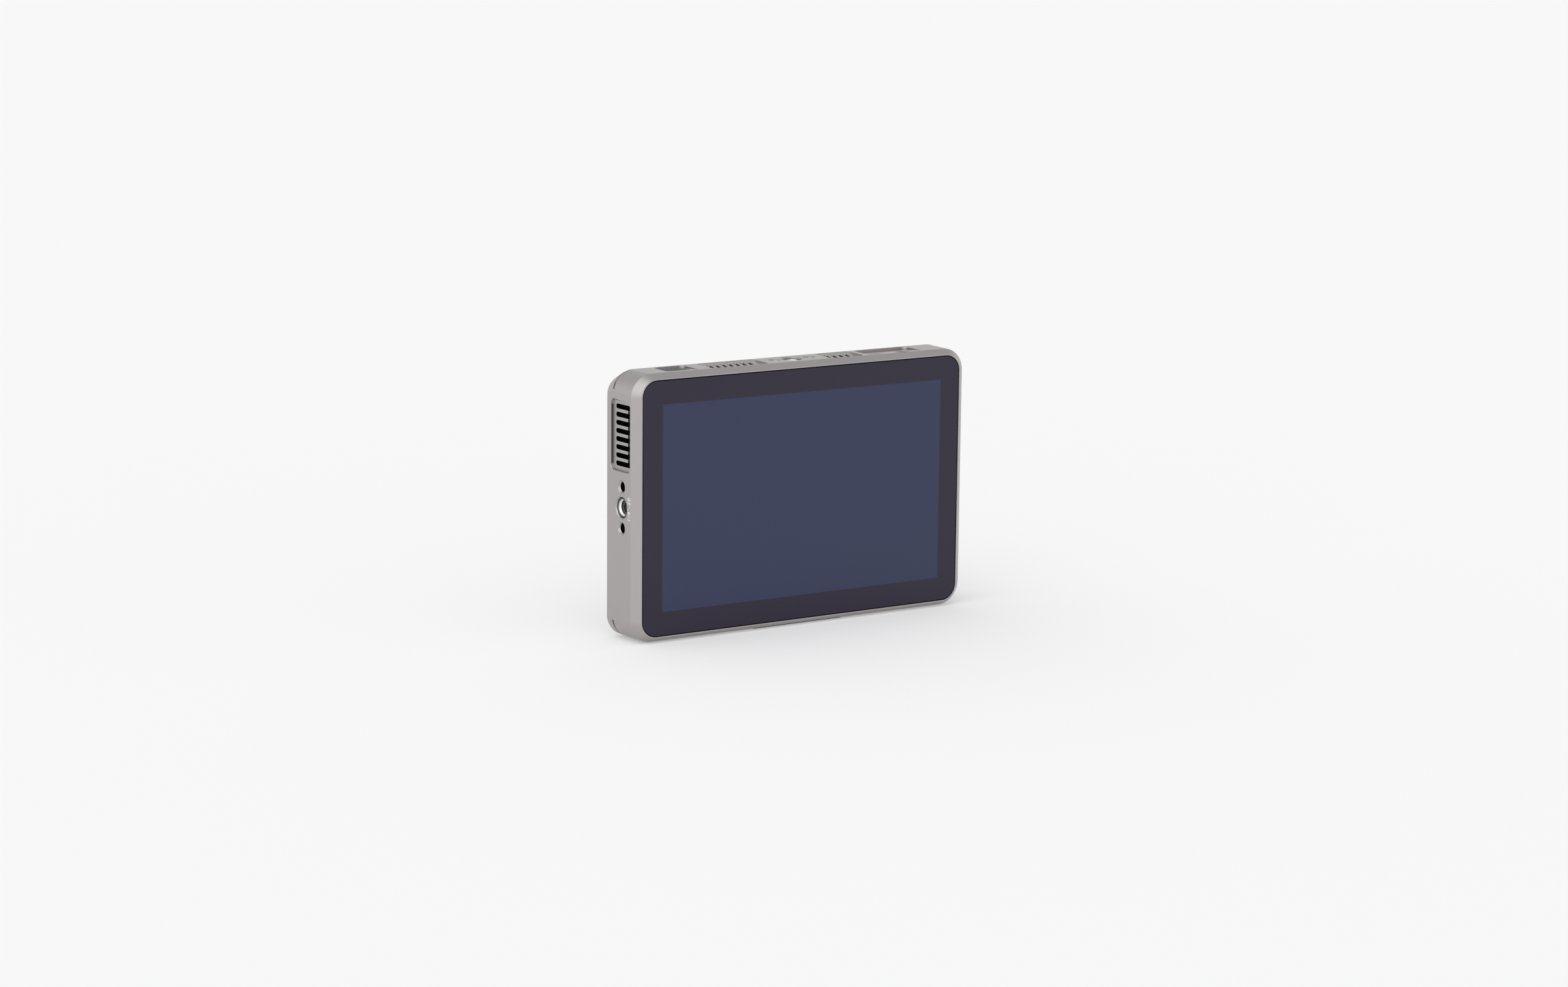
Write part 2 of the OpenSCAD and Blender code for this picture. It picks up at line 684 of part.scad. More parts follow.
module glass_gasket() {
    color([0.03, 0.03, 0.03]) {
        difference() {
            slab(glass_setback + 0.3, glass_t - 0.3)
                rounded_rect(opening_w - 2 * seat_gap, opening_h - 2 * seat_gap, opening_r - seat_gap);
            slab(glass_setback, glass_t + over) rounded_rect(opening_w - 2 * gasket_gap + 2 * seat_gap,
                opening_h - 2 * gasket_gap + 2 * seat_gap, opening_r - gasket_gap + seat_gap);
        }
        difference() {
            slab(glass_back, gasket_t)
                rounded_rect(opening_w - 2 * seat_gap, opening_h - 2 * seat_gap, opening_r - seat_gap);
            slab(glass_back - over, gasket_t + 2 * over)
                rounded_rect(ledge_open_w, ledge_open_h, ledge_open_r);
        }
    }
}

module lcd_panel() {
    color([0.16, 0.17, 0.22]) slab(glass_back, panel_t) square([panel_w, panel_h], center = true);
}

module backlight_unit() {
    color([0.85, 0.85, 0.86]) difference() {
        slab(panel_back, backlight_t) rounded_rect(tray_w, tray_h, 1);
        slab(panel_back - over, 0.4 + over) square([panel_w - 1.2, panel_h - 1.2], center = true);
    }
}

module mid_frame() {
    notch = 0.5;
    color([0.45, 0.45, 0.47]) difference() {
        union() {
            slab(backlight_back, frame_t) rounded_rect(cavity_w - 1.6, cavity_h - 1.6, cavity_r - 0.8);
            for (p = board_screw_at) peg(p[0], p[1], frame_back - hair, board_depth, standoff_r);
        }
        brick(-cavity_w, -body_w / 2 + block_l + notch, frame_back - 5, frame_back + 5,
            -block_half - notch, block_half + notch);
        brick(-block_half - notch, block_half + notch, frame_back - 5, frame_back + 5,
            top_z - block_l - notch, top_z);
        brick(-block_half - notch, block_half + notch, frame_back - 5, frame_back + 5,
            -top_z, -top_z + block_l + notch);
        brick(usb_x - usb_w / 2 - 1, jack_x + jack_w / 2 + 1, frame_back - 5, frame_back + 5,
            jack_bottom - 1.5, top_z);
        brick(button_x - button_w / 2 - flange_margin - 1, button_x + button_w / 2 + flange_margin + 1,
            frame_back - 5, frame_back + 5, top_z - wall_t - 3.4, top_z);
        brick(-display_cable_w / 2 - 1, display_cable_w / 2 + 1, frame_back - 5, frame_back + 5,
            display_cable_z - 1.1, display_cable_z + 1.1);
        for (s = [-1 : 1])
            peg(s * frame_hole_x, frame_hole_z, frame_back - 5, frame_back + 5, frame_hole_r);
        for (p = frame_screw_at) peg(p[0], p[1], frame_back - 5, frame_back + 5, screw_r + screw_clear);
        for (p = board_screw_at) peg(p[0], p[1], frame_back, board_depth + over, screw_r + screw_gap);
    }
}

// ---------------------------------------------------------------- boards

module main_board() {
    clear = 0.6;
    color([0.05, 0.28, 0.16]) difference() {
        union() {
            brick(board_left, board_right, board_depth, board_back, -board_h / 2, board_h / 2);
            brick(usb_x - usb_w / 2 - 1, usb_x + usb_w / 2 + 1, board_depth, board_back,
                board_h / 2 - 1, top_z - wall_t - 0.4);
        }
        brick(-block_half - clear, block_half + clear, board_depth - over, board_back + over,
            top_z - block_l - clear, top_z);
        brick(-block_half - clear, block_half + clear, board_depth - over, board_back + over,
            -top_z, -top_z + block_l + clear);
        brick(jack_x - jack_w / 2 - 0.3, jack_x + jack_w / 2 + 0.3, board_depth - over, board_back + over,
            jack_bottom - 0.3, top_z);
        brick(-body_w / 2, fan_x + fan_side / 2 + fan_bay_gap, board_depth - over, board_back + over,
            fan_z - fan_side / 2 - fan_bay_gap, fan_z + fan_side / 2 + fan_bay_gap);
        for (p = board_screw_at)
            peg(p[0], p[1], board_depth - over, board_back + over, screw_r + screw_clear);
    }
}

module processor_chip() {
    color([0.12, 0.12, 0.13]) brick(chip_x - chip_w / 2, chip_x + chip_w / 2, board_back, board_back + chip_t,
        chip_z - chip_w / 2, chip_z + chip_w / 2);
}

// memory and converter chips on the main board, and the display cable's socket on its front
module board_chips() {
    color([0.14, 0.14, 0.15]) {
        for (p = small_chip_at)
            brick(p[0] - small_chip_w / 2, p[0] + small_chip_w / 2, board_back, board_back + small_chip_t,
                p[1] - small_chip_h / 2, p[1] + small_chip_h / 2);
        brick(-display_cable_w / 2 - socket_side, display_cable_w / 2 + socket_side,
            board_depth - socket_t, board_depth, display_socket_z, display_socket_z + socket_h);
        brick(power_cable_x - power_cable_w / 2 - 1, power_cable_x + power_cable_w / 2 + 1, board_back,
            board_back + power_socket_t, power_socket_z - power_socket_h, power_socket_z);
    }
}

module heat_sink() {
    base_front = board_back + chip_t;
    color([0.6, 0.61, 0.62]) union() {
        brick(chip_x - sink_w / 2, chip_x + sink_w / 2, base_front, base_front + sink_base_t,
            chip_z - sink_h / 2, chip_z + sink_h / 2);
        for (i = [0 : fin_count - 1])
            translate([(i - (fin_count - 1) / 2) * (sink_w - fin_t) / (fin_count - 1), 0, 0])
                brick(chip_x - fin_t / 2, chip_x + fin_t / 2, base_front, base_front + sink_base_t + fin_h,
                    chip_z - sink_h / 2, chip_z + sink_h / 2);
        for (sx = [-1, 1], sz = [-1, 1])
            peg(chip_x + sx * (sink_w / 2 - 2.6), chip_z + sz * (sink_h / 2 - 2.6),
                board_back, base_front + hair, 2);
    }
}

module power_board() {
    color([0.05, 0.28, 0.16]) difference() {
        brick(-power_board_w / 2, power_board_w / 2, power_board_back - power_board_t, power_board_back,
            power_board_z - power_board_h / 2, power_board_z + power_board_h / 2);
        for (s = [-1, 1])
            peg(s * power_screw_x, power_board_z, power_board_back - 5, power_board_back + over,
                screw_r + screw_clear);
    }
}

// flat cable from the panel's tray to the main board, folded once
module display_cable() {
    t = 0.3;
    run = board_depth - socket_t / 2;
    color([0.72, 0.5, 0.2]) translate([-display_cable_w / 2, front_y, mid_z]) rotate([90, 0, 90])
        linear_extrude(height = display_cable_w)
            polygon([[backlight_back, display_cable_z - t / 2], [backlight_back, display_cable_z + t / 2],
                [run, display_cable_z + t / 2], [run, display_socket_z], [run + t, display_socket_z],
                [run + t, display_cable_z - t / 2]]);
}

// flat cable from the battery board to the socket on the main board
module power_cable() {
    t = 0.4;
    d0 = board_back + power_socket_t / 2;
    d1 = power_board_back - power_board_t;
    z1 = power_board_z + 3;
    color([0.1, 0.1, 0.1]) translate([power_cable_x - power_cable_w / 2, front_y, mid_z]) rotate([90, 0, 90])
        linear_extrude(height = power_cable_w)
            polygon([[d0, power_socket_z], [d0 + t, power_socket_z], [d0 + t, z1 - t], [d1, z1 - t],
                [d1, z1], [d0, z1]]);
}

// ---------------------------------------------------------------- cooling

module fan_frame() {
    color([0.12, 0.12, 0.12]) union() {
        difference() {
            brick(fan_x - fan_side / 2, fan_x + fan_side / 2, fan_front, fan_back,
                fan_z - fan_side / 2, fan_z + fan_side / 2);
            peg(fan_x, fan_z, fan_front + fan_skin, fan_back - fan_skin, fan_cavity_r);
            peg(fan_x, fan_z, fan_back - 2 * fan_skin, fan_back + over, fan_inlet_r);
            brick(fan_x - fan_side / 2 - over, fan_x, fan_front + fan_skin, fan_back - fan_skin,
                fan_z - fan_cavity_r + 4, fan_z + fan_cavity_r - hair);
            for (p = fan_screw_at) peg(fan_x + p[0], fan_z + p[1], fan_front - over, fan_back + over,
                screw_r + screw_clear);
        }
        peg(fan_x, fan_z, fan_front + fan_skin - hair, fan_back - fan_skin - 1.6, spindle_r);
    }
}

module fan_rotor() {
    d0 = fan_front + fan_skin + wheel_gap;
    d1 = fan_back - fan_skin - wheel_gap;
    color([0.16, 0.16, 0.17]) difference() {
        union() {
            peg(fan_x, fan_z, d0, d1, hub_r);
            translate([fan_x, 0, mid_z + fan_z]) for (i = [0 : blade_count - 1])
                rotate([0, i * 360 / blade_count, 0])
                    translate([hub_r - 1, front_y + d0 + blade_inset, -blade_t / 2])
                        cube([rotor_r - hub_r + 1, d1 - d0 - 2 * blade_inset, blade_t]);
        }
        peg(fan_x, fan_z, d0 - over, d1 - 0.8, spindle_r + spindle_gap);
    }
}

module left_dust_screen() {
    color([0.05, 0.05, 0.05]) on_left(left_vent_z)
        translate([-left_vent_len / 2 + 1, slot_front - 0.2, -wall_t - screen_t])
            cube([left_vent_len - 2, left_slot_rear - slot_front + 0.6, screen_t]);
}

module top_dust_screens() {
    color([0.05, 0.05, 0.05]) for (v = [[long_vent_x, long_vent_len], [short_vent_x, short_vent_len]])
        on_top(v[0]) translate([-v[1] / 2 + 1, slot_front - 0.2, -wall_t - screen_t])
            cube([v[1] - 2, top_slot_rear - slot_front + 0.6, screen_t]);
}

// ---------------------------------------------------------------- top controls and ports

module power_button() {
    flange_top = -wall_t - button_gap;
    stem_end = switch_top - top_z + button_travel + stem_gap;
    color([0.15, 0.15, 0.16]) on_top(button_x) translate([0, button_depth, 0]) {
        translate([0, 0, flange_top - hair]) linear_extrude(height = -button_setback - flange_top + hair)
            rounded_rect(button_w, button_l, 2 - button_gap);
        translate([0, 0, flange_top - flange_t]) linear_extrude(height = flange_t)
            rounded_rect(button_w + 2 * flange_margin, button_l + 2 * flange_margin, 1.5);
        translate([0, switch_depth - button_depth, stem_end])
            cylinder(r = stem_r, h = flange_top - flange_t + hair - stem_end);
    }
}

module power_switch() {
    color([0.2, 0.2, 0.21]) {
        brick(button_x - 3.2, button_x + 3.2, board_back, board_back + 4, switch_top - 6, switch_top - 1);
        on_top(button_x) translate([0, switch_depth, switch_top - top_z - 1 - hair])
            cylinder(r = 1.3, h = 1 + hair);
    }
}

module usb_port() {
    color([0.7, 0.7, 0.72]) on_top(usb_x) translate([0, board_depth - usb_h / 2, -usb_setback - usb_l]) {
        difference() {
            linear_extrude(height = usb_l) rounded_rect(usb_w, usb_h, usb_h / 2 - hair);
            translate([0, 0, 0.8]) linear_extrude(height = usb_l)
                rounded_rect(usb_w - 2 * shell_t, usb_h - 2 * shell_t, usb_h / 2 - shell_t - hair);
        }
        translate([-3.2, -0.35, 0.4]) cube([6.4, 0.7, usb_l - 1.4]);
    }
}

module headphone_jack() {
    color([0.1, 0.1, 0.1]) on_top(jack_x) translate([0, jack_depth, 0]) difference() {
        union() {
            translate([-jack_w / 2, -jack_d / 2, -wall_t - jack_l]) cube([jack_w, jack_d, jack_l]);
            translate([0, 0, -wall_t - hair]) cylinder(r = jack_collar_r, h = wall_t - jack_setback + hair);
        }
        translate([0, 0, -wall_t - jack_l + 1]) cylinder(r = jack_r, h = jack_l + wall_t);
    }
}

// shell of a full-size video port with its tongue; placed at height z on the right side
module video_port(z) {
    inner_w = video_shell_w - 2 * shell_t;
    inner_h = video_shell_h - 2 * shell_t;
    on_right(z) translate([0, video_depth, -side_setback - video_shell_l]) {
        difference() {
            translate([-video_shell_w / 2, -video_shell_h / 2, 0])
                cube([video_shell_w, video_shell_h, video_shell_l]);
            translate([0, 0, 1]) linear_extrude(height = video_shell_l)
                polygon([[-inner_w / 2, -inner_h / 2 + 0.4], [-inner_w / 2, inner_h / 2 - 1.6],
                    [-inner_w / 2 + 1.6, inner_h / 2], [inner_w / 2 - 1.6, inner_h / 2],
                    [inner_w / 2, inner_h / 2 - 1.6], [inner_w / 2, -inner_h / 2 + 0.4],
                    [inner_w / 2 - 0.4, -inner_h / 2], [-inner_w / 2 + 0.4, -inner_h / 2]]);
        }
        translate([-5, -0.9, 0.5]) cube([10, 1.1, video_shell_l - 2.5]);
    }
}

module hdmi_input_port() {
    color([0.7, 0.7, 0.72]) video_port(video_in_z);
}

module hdmi_output_port() {
    color([0.7, 0.7, 0.72]) video_port(video_out_z);
}

module dc_input_jack() {
    color([0.1, 0.1, 0.1]) on_right(inlet_z) translate([0, inlet_depth, -side_setback - inlet_l]) {
        difference() {
            union() {
                cylinder(r = inlet_r, h = inlet_l);
                translate([-inlet_r, -inlet_r, 0]) cube([2 * inlet_r, inlet_r, inlet_l - 3]);
            }
            translate([0, 0, 1]) cylinder(r = inlet_socket_r, h = inlet_l);
        }
        translate([0, 0, 0.5]) cylinder(r = 1.05, h = inlet_l - 2);
    }
}

module left_thread_insert() {
    color([0.8, 0.8, 0.82]) on_left(0) thread_insert();
}

module top_thread_insert() {
    color([0.8, 0.8, 0.82]) on_top(0) thread_insert();
}

module bottom_thread_insert() {
    color([0.8, 0.8, 0.82]) on_bottom(0) thread_insert();
}

// ---------------------------------------------------------------- rear

module rear_cover() {
    gap = 0.15;
    color([0.52, 0.52, 0.53]) difference() {
        union() {
            slab(cover_front, cover_t) rounded_rect(cover_w - 2 * gap, cover_h - 2 * gap, cover_r - gap);
            for (p = fan_screw_at)
                peg(fan_x + p[0], fan_z + p[1], fan_back, cover_front + hair, cover_post_r);
            for (s = [-1, 1])
                peg(s * power_screw_x, power_board_z, power_board_back, cover_front + hair, cover_post_r);
        }
        for (s = [-1, 1], i = [-3 : 3])
            translate([-s * fan_x, 0, 0]) slab(cover_front - over, cover_t + 2 * over)
                translate([-rear_vent_l / 2, fan_z + i * rear_vent_pitch]) rotate(-90)
                    stadium(rear_vent_w, 0, rear_vent_l);
        for (s = [-1, 1], c = contact_xs)
            translate([s * plate_x, 0, 0])
                brick(c - contact_w / 2 - contact_gap, c + contact_w / 2 + contact_gap, cover_front - over,
                    body_d + over, contact_z - contact_t / 2 - contact_gap,
                    contact_z + contact_t / 2 + contact_gap);
        for (p = cover_screw_at) {
            peg(p[0], p[1], cover_front - over, body_d + over, screw_r + screw_clear);
            peg(p[0], p[1], body_d - screw_head_h - 0.1, body_d + over, screw_head_r + screw_clear);
        }
        for (s = [-1, 1], p = plate_screw_at)
            peg(s * plate_x + p[0], p[1], cover_front - over, body_d + over, plate_screw_r + screw_gap);
        for (p = fan_screw_at)
            peg(fan_x + p[0], fan_z + p[1], fan_back - over, cover_front + 0.8, screw_r + screw_gap);
        for (s = [-1, 1])
            peg(s * power_screw_x, power_board_z, power_board_back - over, cover_front + 0.8,
                screw_r + screw_gap);
    }
}

// one battery plate about x = 0: base, hooks, contact block and the release button's pocket
module battery_plate() {
    difference() {
        union() {
            slab(body_d, plate_base_t) rounded_rect(plate_w, plate_h, 3);
            brick(-battery_w / 2 + 0.4, battery_w / 2 - 0.4, plate_face - hair, plate_face + hook_h,
                -plate_h / 2 + 0.6, -plate_h / 2 + block_h);
            for (s = [0, 1], z = hook_zs) mirror([s, 0, 0]) {
                brick(battery_w / 2, battery_w / 2 + hook_w, plate_face - hair, plate_face + hook_h,
                    z - hook_l / 2, z + hook_l / 2);
                brick(battery_w / 2 - hook_lip, battery_w / 2 + hair, plate_face + hook_h - hook_lip_t,
                    plate_face + hook_h, z - hook_l / 2, z + hook_l / 2);
            }
        }
        for (c = contact_xs) {
            slot_x0 = c - contact_w / 2 - contact_gap;
            slot_x1 = c + contact_w / 2 + contact_gap;
            slot_z0 = contact_z - contact_t / 2 - contact_gap;
            slot_z1 = contact_z + contact_t / 2 + contact_gap;
            brick(slot_x0, slot_x1, body_d - over, contact_top, slot_z0, slot_z1);
            brick(slot_x0, slot_x1, plate_face + 0.1, contact_top, slot_z0, 0);
        }
        brick(-release_w / 2 - button_gap, release_w / 2 + button_gap, body_d - over, plate_face + over,
            release_z - release_h / 2 - button_gap, release_z + release_h / 2 + button_gap);
        brick(-release_w / 2 - release_flange - button_gap, release_w / 2 + release_flange + button_gap,
            body_d - over, plate_face - release_skin,
            release_z - release_h / 2 - release_flange - button_gap,
            release_z + release_h / 2 + release_flange + button_gap);
        for (p = plate_screw_at) {
            peg(p[0], p[1], body_d - over, plate_face + over, plate_screw_r + screw_clear);
            peg(p[0], p[1], plate_face - plate_head_h - 0.2, plate_face + over, plate_head_r + screw_clear);
        }
    }
}

module battery_plate_left() {
    color([0.07, 0.07, 0.07]) translate([-plate_x, 0, 0]) battery_plate();
}

module battery_plate_right() {
    color([0.07, 0.07, 0.07]) translate([plate_x, 0, 0]) battery_plate();
}

// three bent blades about x = 0, from the battery board through the cover to the battery
module battery_contacts() {
    blade_front = plate_face + 0.5;
    for (c = contact_xs) {
        brick(c - contact_w / 2, c + contact_w / 2, power_board_back, blade_front + contact_t,
            contact_z - contact_t / 2, contact_z + contact_t / 2);
        brick(c - contact_w / 2, c + contact_w / 2, blade_front, blade_front + contact_t,
            contact_z - hair, contact_z + contact_t / 2 + blade_l);
    }
}

module battery_contacts_left() {
    color([0.8, 0.65, 0.3]) translate([-plate_x, 0, 0]) battery_contacts();
}

module battery_contacts_right() {
    color([0.8, 0.65, 0.3]) translate([plate_x, 0, 0]) battery_contacts();
}

// push button and battery catch in one piece: it stands out by its travel at rest
module release_button() {
    top = plate_face + release_travel + 0.2;
    flange_back = plate_face - release_skin - button_gap;
    color([0.6, 0.1, 0.08]) {
        difference() {
            brick(-release_w / 2, release_w / 2, flange_back - hair, top, release_z - release_h / 2,
                release_z + release_h / 2);
            for (i = [-1, 0, 1]) brick(-release_w / 2 - over, release_w / 2 + over, top - 0.3, top + over,
                release_z + i * 1.4 - 0.3, release_z + i * 1.4 + 0.3);
        }
        brick(-release_w / 2 - release_flange, release_w / 2 + release_flange, flange_back - flange_t,
            flange_back, release_z - release_h / 2 - release_flange, release_z + release_h / 2 + release_flange);
    }
}

module release_button_left() {
    translate([-plate_x, 0, 0]) release_button();
}

module release_button_right() {
    translate([plate_x, 0, 0]) release_button();
}

// ---------------------------------------------------------------- fasteners

module frame_screws() {
    color([0.7, 0.7, 0.72]) for (p = frame_screw_at)
        screw(p[0], p[1], frame_back, frame_t + screw_bite);
}

module board_screws() {
    color([0.7, 0.7, 0.72]) for (p = board_screw_at)
        screw(p[0], p[1], board_back, board_t + screw_bite);
}

module cover_screws() {
    color([0.1, 0.1, 0.1]) for (p = cover_screw_at)
        screw(p[0], p[1], body_d - screw_head_h - 0.1, cover_t - screw_head_h + screw_bite);
}

module plate_screws() {
    color([0.1, 0.1, 0.1]) for (s = [-1, 1], p = plate_screw_at)
        screw(s * plate_x + p[0], p[1], plate_face - plate_head_h - 0.2,
            plate_base_t - plate_head_h - 0.2 + plate_screw_bite, plate_screw_r, plate_head_r, plate_head_h);
}

// screws of the fan and of the battery board, put in from the front
module fan_screws() {
    color([0.7, 0.7, 0.72]) {
        for (p = fan_screw_at) translate([0, 2 * (front_y + fan_front), 0]) mirror([0, 1, 0])
            screw(fan_x + p[0], fan_z + p[1], fan_front, fan_t + fan_screw_bite);
        for (s = [-1, 1])
            translate([0, 2 * (front_y + power_board_back - power_board_t), 0]) mirror([0, 1, 0])
                screw(s * power_screw_x, power_board_z, power_board_back - power_board_t,
                    power_board_t + power_screw_bite);
    }
}

housing();
rear_cover();
cover_glass();
glass_gasket();
lcd_panel();
backlight_unit();
mid_frame();
main_board();
processor_chip();
board_chips();
heat_sink();
fan_frame();
fan_rotor();
power_switch();
power_button();
usb_port();
headphone_jack();
hdmi_input_port();
hdmi_output_port();
dc_input_jack();
left_thread_insert();
top_thread_insert();
bottom_thread_insert();
left_dust_screen();
top_dust_screens();
bottom_pad();
battery_plate_left();
battery_plate_right();
battery_contacts_left();
battery_contacts_right();
release_button_left();
release_button_right();
power_board();
display_cable();
power_cable();
frame_screws();
board_screws();
cover_screws();
plate_screws();
fan_screws();
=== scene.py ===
# Seven-inch camera field monitor on a pale floor, seen from its front left.
import math
import bmesh
import bpy
from mathutils import Matrix, Vector


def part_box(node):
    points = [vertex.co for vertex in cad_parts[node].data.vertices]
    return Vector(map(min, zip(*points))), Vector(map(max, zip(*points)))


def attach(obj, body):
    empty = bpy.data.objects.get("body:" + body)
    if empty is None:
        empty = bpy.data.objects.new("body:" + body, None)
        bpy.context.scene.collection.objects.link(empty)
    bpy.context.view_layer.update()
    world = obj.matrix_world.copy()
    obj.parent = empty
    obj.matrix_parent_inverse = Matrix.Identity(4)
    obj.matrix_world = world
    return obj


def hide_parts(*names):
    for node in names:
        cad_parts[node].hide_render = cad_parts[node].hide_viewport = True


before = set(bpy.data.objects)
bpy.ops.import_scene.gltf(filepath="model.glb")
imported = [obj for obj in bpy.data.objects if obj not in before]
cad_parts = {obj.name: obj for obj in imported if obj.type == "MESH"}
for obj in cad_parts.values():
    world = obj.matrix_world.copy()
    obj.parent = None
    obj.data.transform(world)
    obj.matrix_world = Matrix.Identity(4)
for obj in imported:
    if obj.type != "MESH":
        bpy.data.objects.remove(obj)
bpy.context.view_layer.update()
scene = bpy.context.scene

# ---------------------------------------------------------------- viewpoint
# The camera stands off the body's front left corner, a little above it, and looks slightly down
# through a long lens, as the photograph was taken. Its axes are written as unit vectors.
focal_length = 83.846    # of a sensor 36 wide, both in mm
sensor_width = 36.0
view_from = Vector((-0.899695, -1.391206, 0.368780))
view_right = Vector((0.84094941, -0.5410116, 0.01051364))
view_up = Vector((0.0907718, 0.16019689, 0.98290256))

lens = bpy.data.cameras.new("viewpoint")
lens.lens = focal_length
lens.sensor_fit = "HORIZONTAL"
lens.sensor_width = sensor_width
viewpoint = bpy.data.objects.new("viewpoint", lens)
scene.collection.objects.link(viewpoint)
view_turn = Matrix((view_right, view_up, view_right.cross(view_up))).transposed().to_4x4()
viewpoint.matrix_world = Matrix.Translation(view_from) @ view_turn
scene.camera = viewpoint
scene.view_settings.view_transform = "Standard"

# ---------------------------------------------------------------- floor and light
# A wide matt sheet of pale translucent plastic, lit a little from below so that shadows stay faint.
# Round it stands a white tent, brighter near the horizon, with one large soft light high on the left.
floor_side = 40.0
floor_tone = (0.68, 0.68, 0.683, 1.0)
floor_glow = 0.255
horizon_light = 1.15
zenith_light = 0.72
zenith_from = 0.62       # height of a direction from which the tent is at its darkest
key_light = 0.93
key_from = Vector((-0.66, -0.34, 0.67)).normalized()
key_edge = 0.60          # cosine of the angle where the soft light begins
key_middle = 0.97        # cosine of the angle where it is full

bm = bmesh.new()
bmesh.ops.create_grid(bm, x_segments=4, y_segments=4, size=floor_side / 2)
floor_mesh = bpy.data.meshes.new("floor")
bm.to_mesh(floor_mesh)
bm.free()
floor = bpy.data.objects.new("floor", floor_mesh)
scene.collection.objects.link(floor)
floor_sheet = bpy.data.materials.new("floor_sheet")
floor_sheet.use_nodes = True
sheet_shader = floor_sheet.node_tree.nodes["Principled BSDF"]
sheet_shader.inputs["Base Color"].default_value = floor_tone
sheet_shader.inputs["Roughness"].default_value = 0.9
sheet_shader.inputs["Specular IOR Level"].default_value = 0.0
sheet_shader.inputs["Emission Color"].default_value = (1.0, 1.0, 1.0, 1.0)
sheet_shader.inputs["Emission Strength"].default_value = floor_glow
floor_mesh.materials.append(floor_sheet)

tent = bpy.data.worlds.new("tent")
tent.use_nodes = True
scene.world = tent
nodes, links = tent.node_tree.nodes, tent.node_tree.links
sky = nodes["Background"]
sky.inputs["Color"].default_value = (1.0, 1.0, 1.0, 1.0)
direction = nodes.new("ShaderNodeTexCoord")
towards_key = nodes.new("ShaderNodeVectorMath")
towards_key.operation = "DOT_PRODUCT"
towards_key.inputs[1].default_value = key_from
key_glow = nodes.new("ShaderNodeMapRange")
key_glow.interpolation_type = "SMOOTHSTEP"
key_glow.inputs["From Min"].default_value = key_edge
key_glow.inputs["From Max"].default_value = key_middle
key_glow.inputs["To Min"].default_value = 0.0
key_glow.inputs["To Max"].default_value = key_light
height_of = nodes.new("ShaderNodeSeparateXYZ")
tent_glow = nodes.new("ShaderNodeMapRange")
tent_glow.interpolation_type = "SMOOTHSTEP"
tent_glow.inputs["From Min"].default_value = 0.0
tent_glow.inputs["From Max"].default_value = zenith_from
tent_glow.inputs["To Min"].default_value = horizon_light
tent_glow.inputs["To Max"].default_value = zenith_light
whole_glow = nodes.new("ShaderNodeMath")
whole_glow.operation = "ADD"
links.new(direction.outputs["Generated"], towards_key.inputs[0])
links.new(direction.outputs["Generated"], height_of.inputs["Vector"])
links.new(towards_key.outputs["Value"], key_glow.inputs["Value"])
links.new(height_of.outputs["Z"], tent_glow.inputs["Value"])
links.new(key_glow.outputs["Result"], whole_glow.inputs[0])
links.new(tent_glow.outputs["Result"], whole_glow.inputs[1])
links.new(whole_glow.outputs["Value"], sky.inputs["Strength"])

# ---------------------------------------------------------------- housing
# The body is milled from one block of aluminium, blasted with fine beads and anodised warm grey.
# Its edges are lightly broken. A narrow groove links the left slots near their front. Painted shade,
# black, covers the walls of the left slots, the pin holes and the thread bushes' seats; painted shade
# in dark grey covers that groove, the left vent's rear wall and its upper rounding; and the corner
# slots' walls carry painted light in a paler grey.
mm = 0.001
housing_low, housing_high = (Vector(corner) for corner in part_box("housing"))
front_y = housing_low.y
mid_z = (housing_low.z + housing_high.z) / 2
housing_edge = 0.14 * mm
housing_grey = (0.405, 0.385, 0.382)
hair = 0.1 * mm                         # how far a face may lie outside a nominal size
recess_front = 4.2 * mm                 # this and the next two: behind the front plane
side_recess_rear = 21.4 * mm
top_recess_rear = 18.4 * mm
button_recess_to = -53 * mm             # across, from the body's middle
port_recess_from = 36 * mm
shallow_recess = 1.6 * mm
ramp_front = 2.6 * mm                   # where a recess is hardly deeper than its broken edge
ramp_end = 0.4 * mm                     # from the end of a vent's slope to its rear wall
left_vent = (16 * mm, 48.3 * mm)        # from and to, above mid-height
left_vent_wall = 3.1 * mm
left_vent_front_sink = 2.3 * mm
left_vent_rear_sink = 1.3 * mm
rim_depth = (6.5 * mm, 21.5 * mm)       # the rim that is rounded widely
rim_height = (16 * mm, 48.5 * mm)
rim_radius = 0.5 * mm
rim_zone_rear = 22.2 * mm               # what its rounding may touch
rim_zone_height = (15.4 * mm, 49.1 * mm)
rim_zone_sink = 0.62 * mm
# From here on, most sizes mark where the housing carries painted shade or painted light.
slot_wall_from = 0.2 * mm               # below the vent's floor
rear_wall_depth = 1.3 * mm
rear_wall_sink = 1.5 * mm
top_fillet_depth = (6 * mm, 22 * mm)    # the rounding at the left vent's upper end
top_fillet_height = (47 * mm, 49.2 * mm)
top_fillet_sink = 0.6 * mm
corner_radius = 10.6 * mm
corner_slot = (18.4 * mm, 20.3 * mm)    # from and to, behind the front plane
corner_slot_reach = (7 * mm, corner_radius - 0.75 * mm)
link_groove = (7.2 * mm, 9.4 * mm)      # from and to, behind the front plane
link_groove_floor = 2.62 * mm
pin_offset = 9.4 * mm
pin_hole = 2.25 * mm                    # this and the bush's hole: a little over their radius
pin_sink = (0.9 * mm, 5 * mm)
bush_hole = 4.8 * mm
bush_sink = (0.7 * mm, 7.7 * mm)
thread_depth = 11.7 * mm


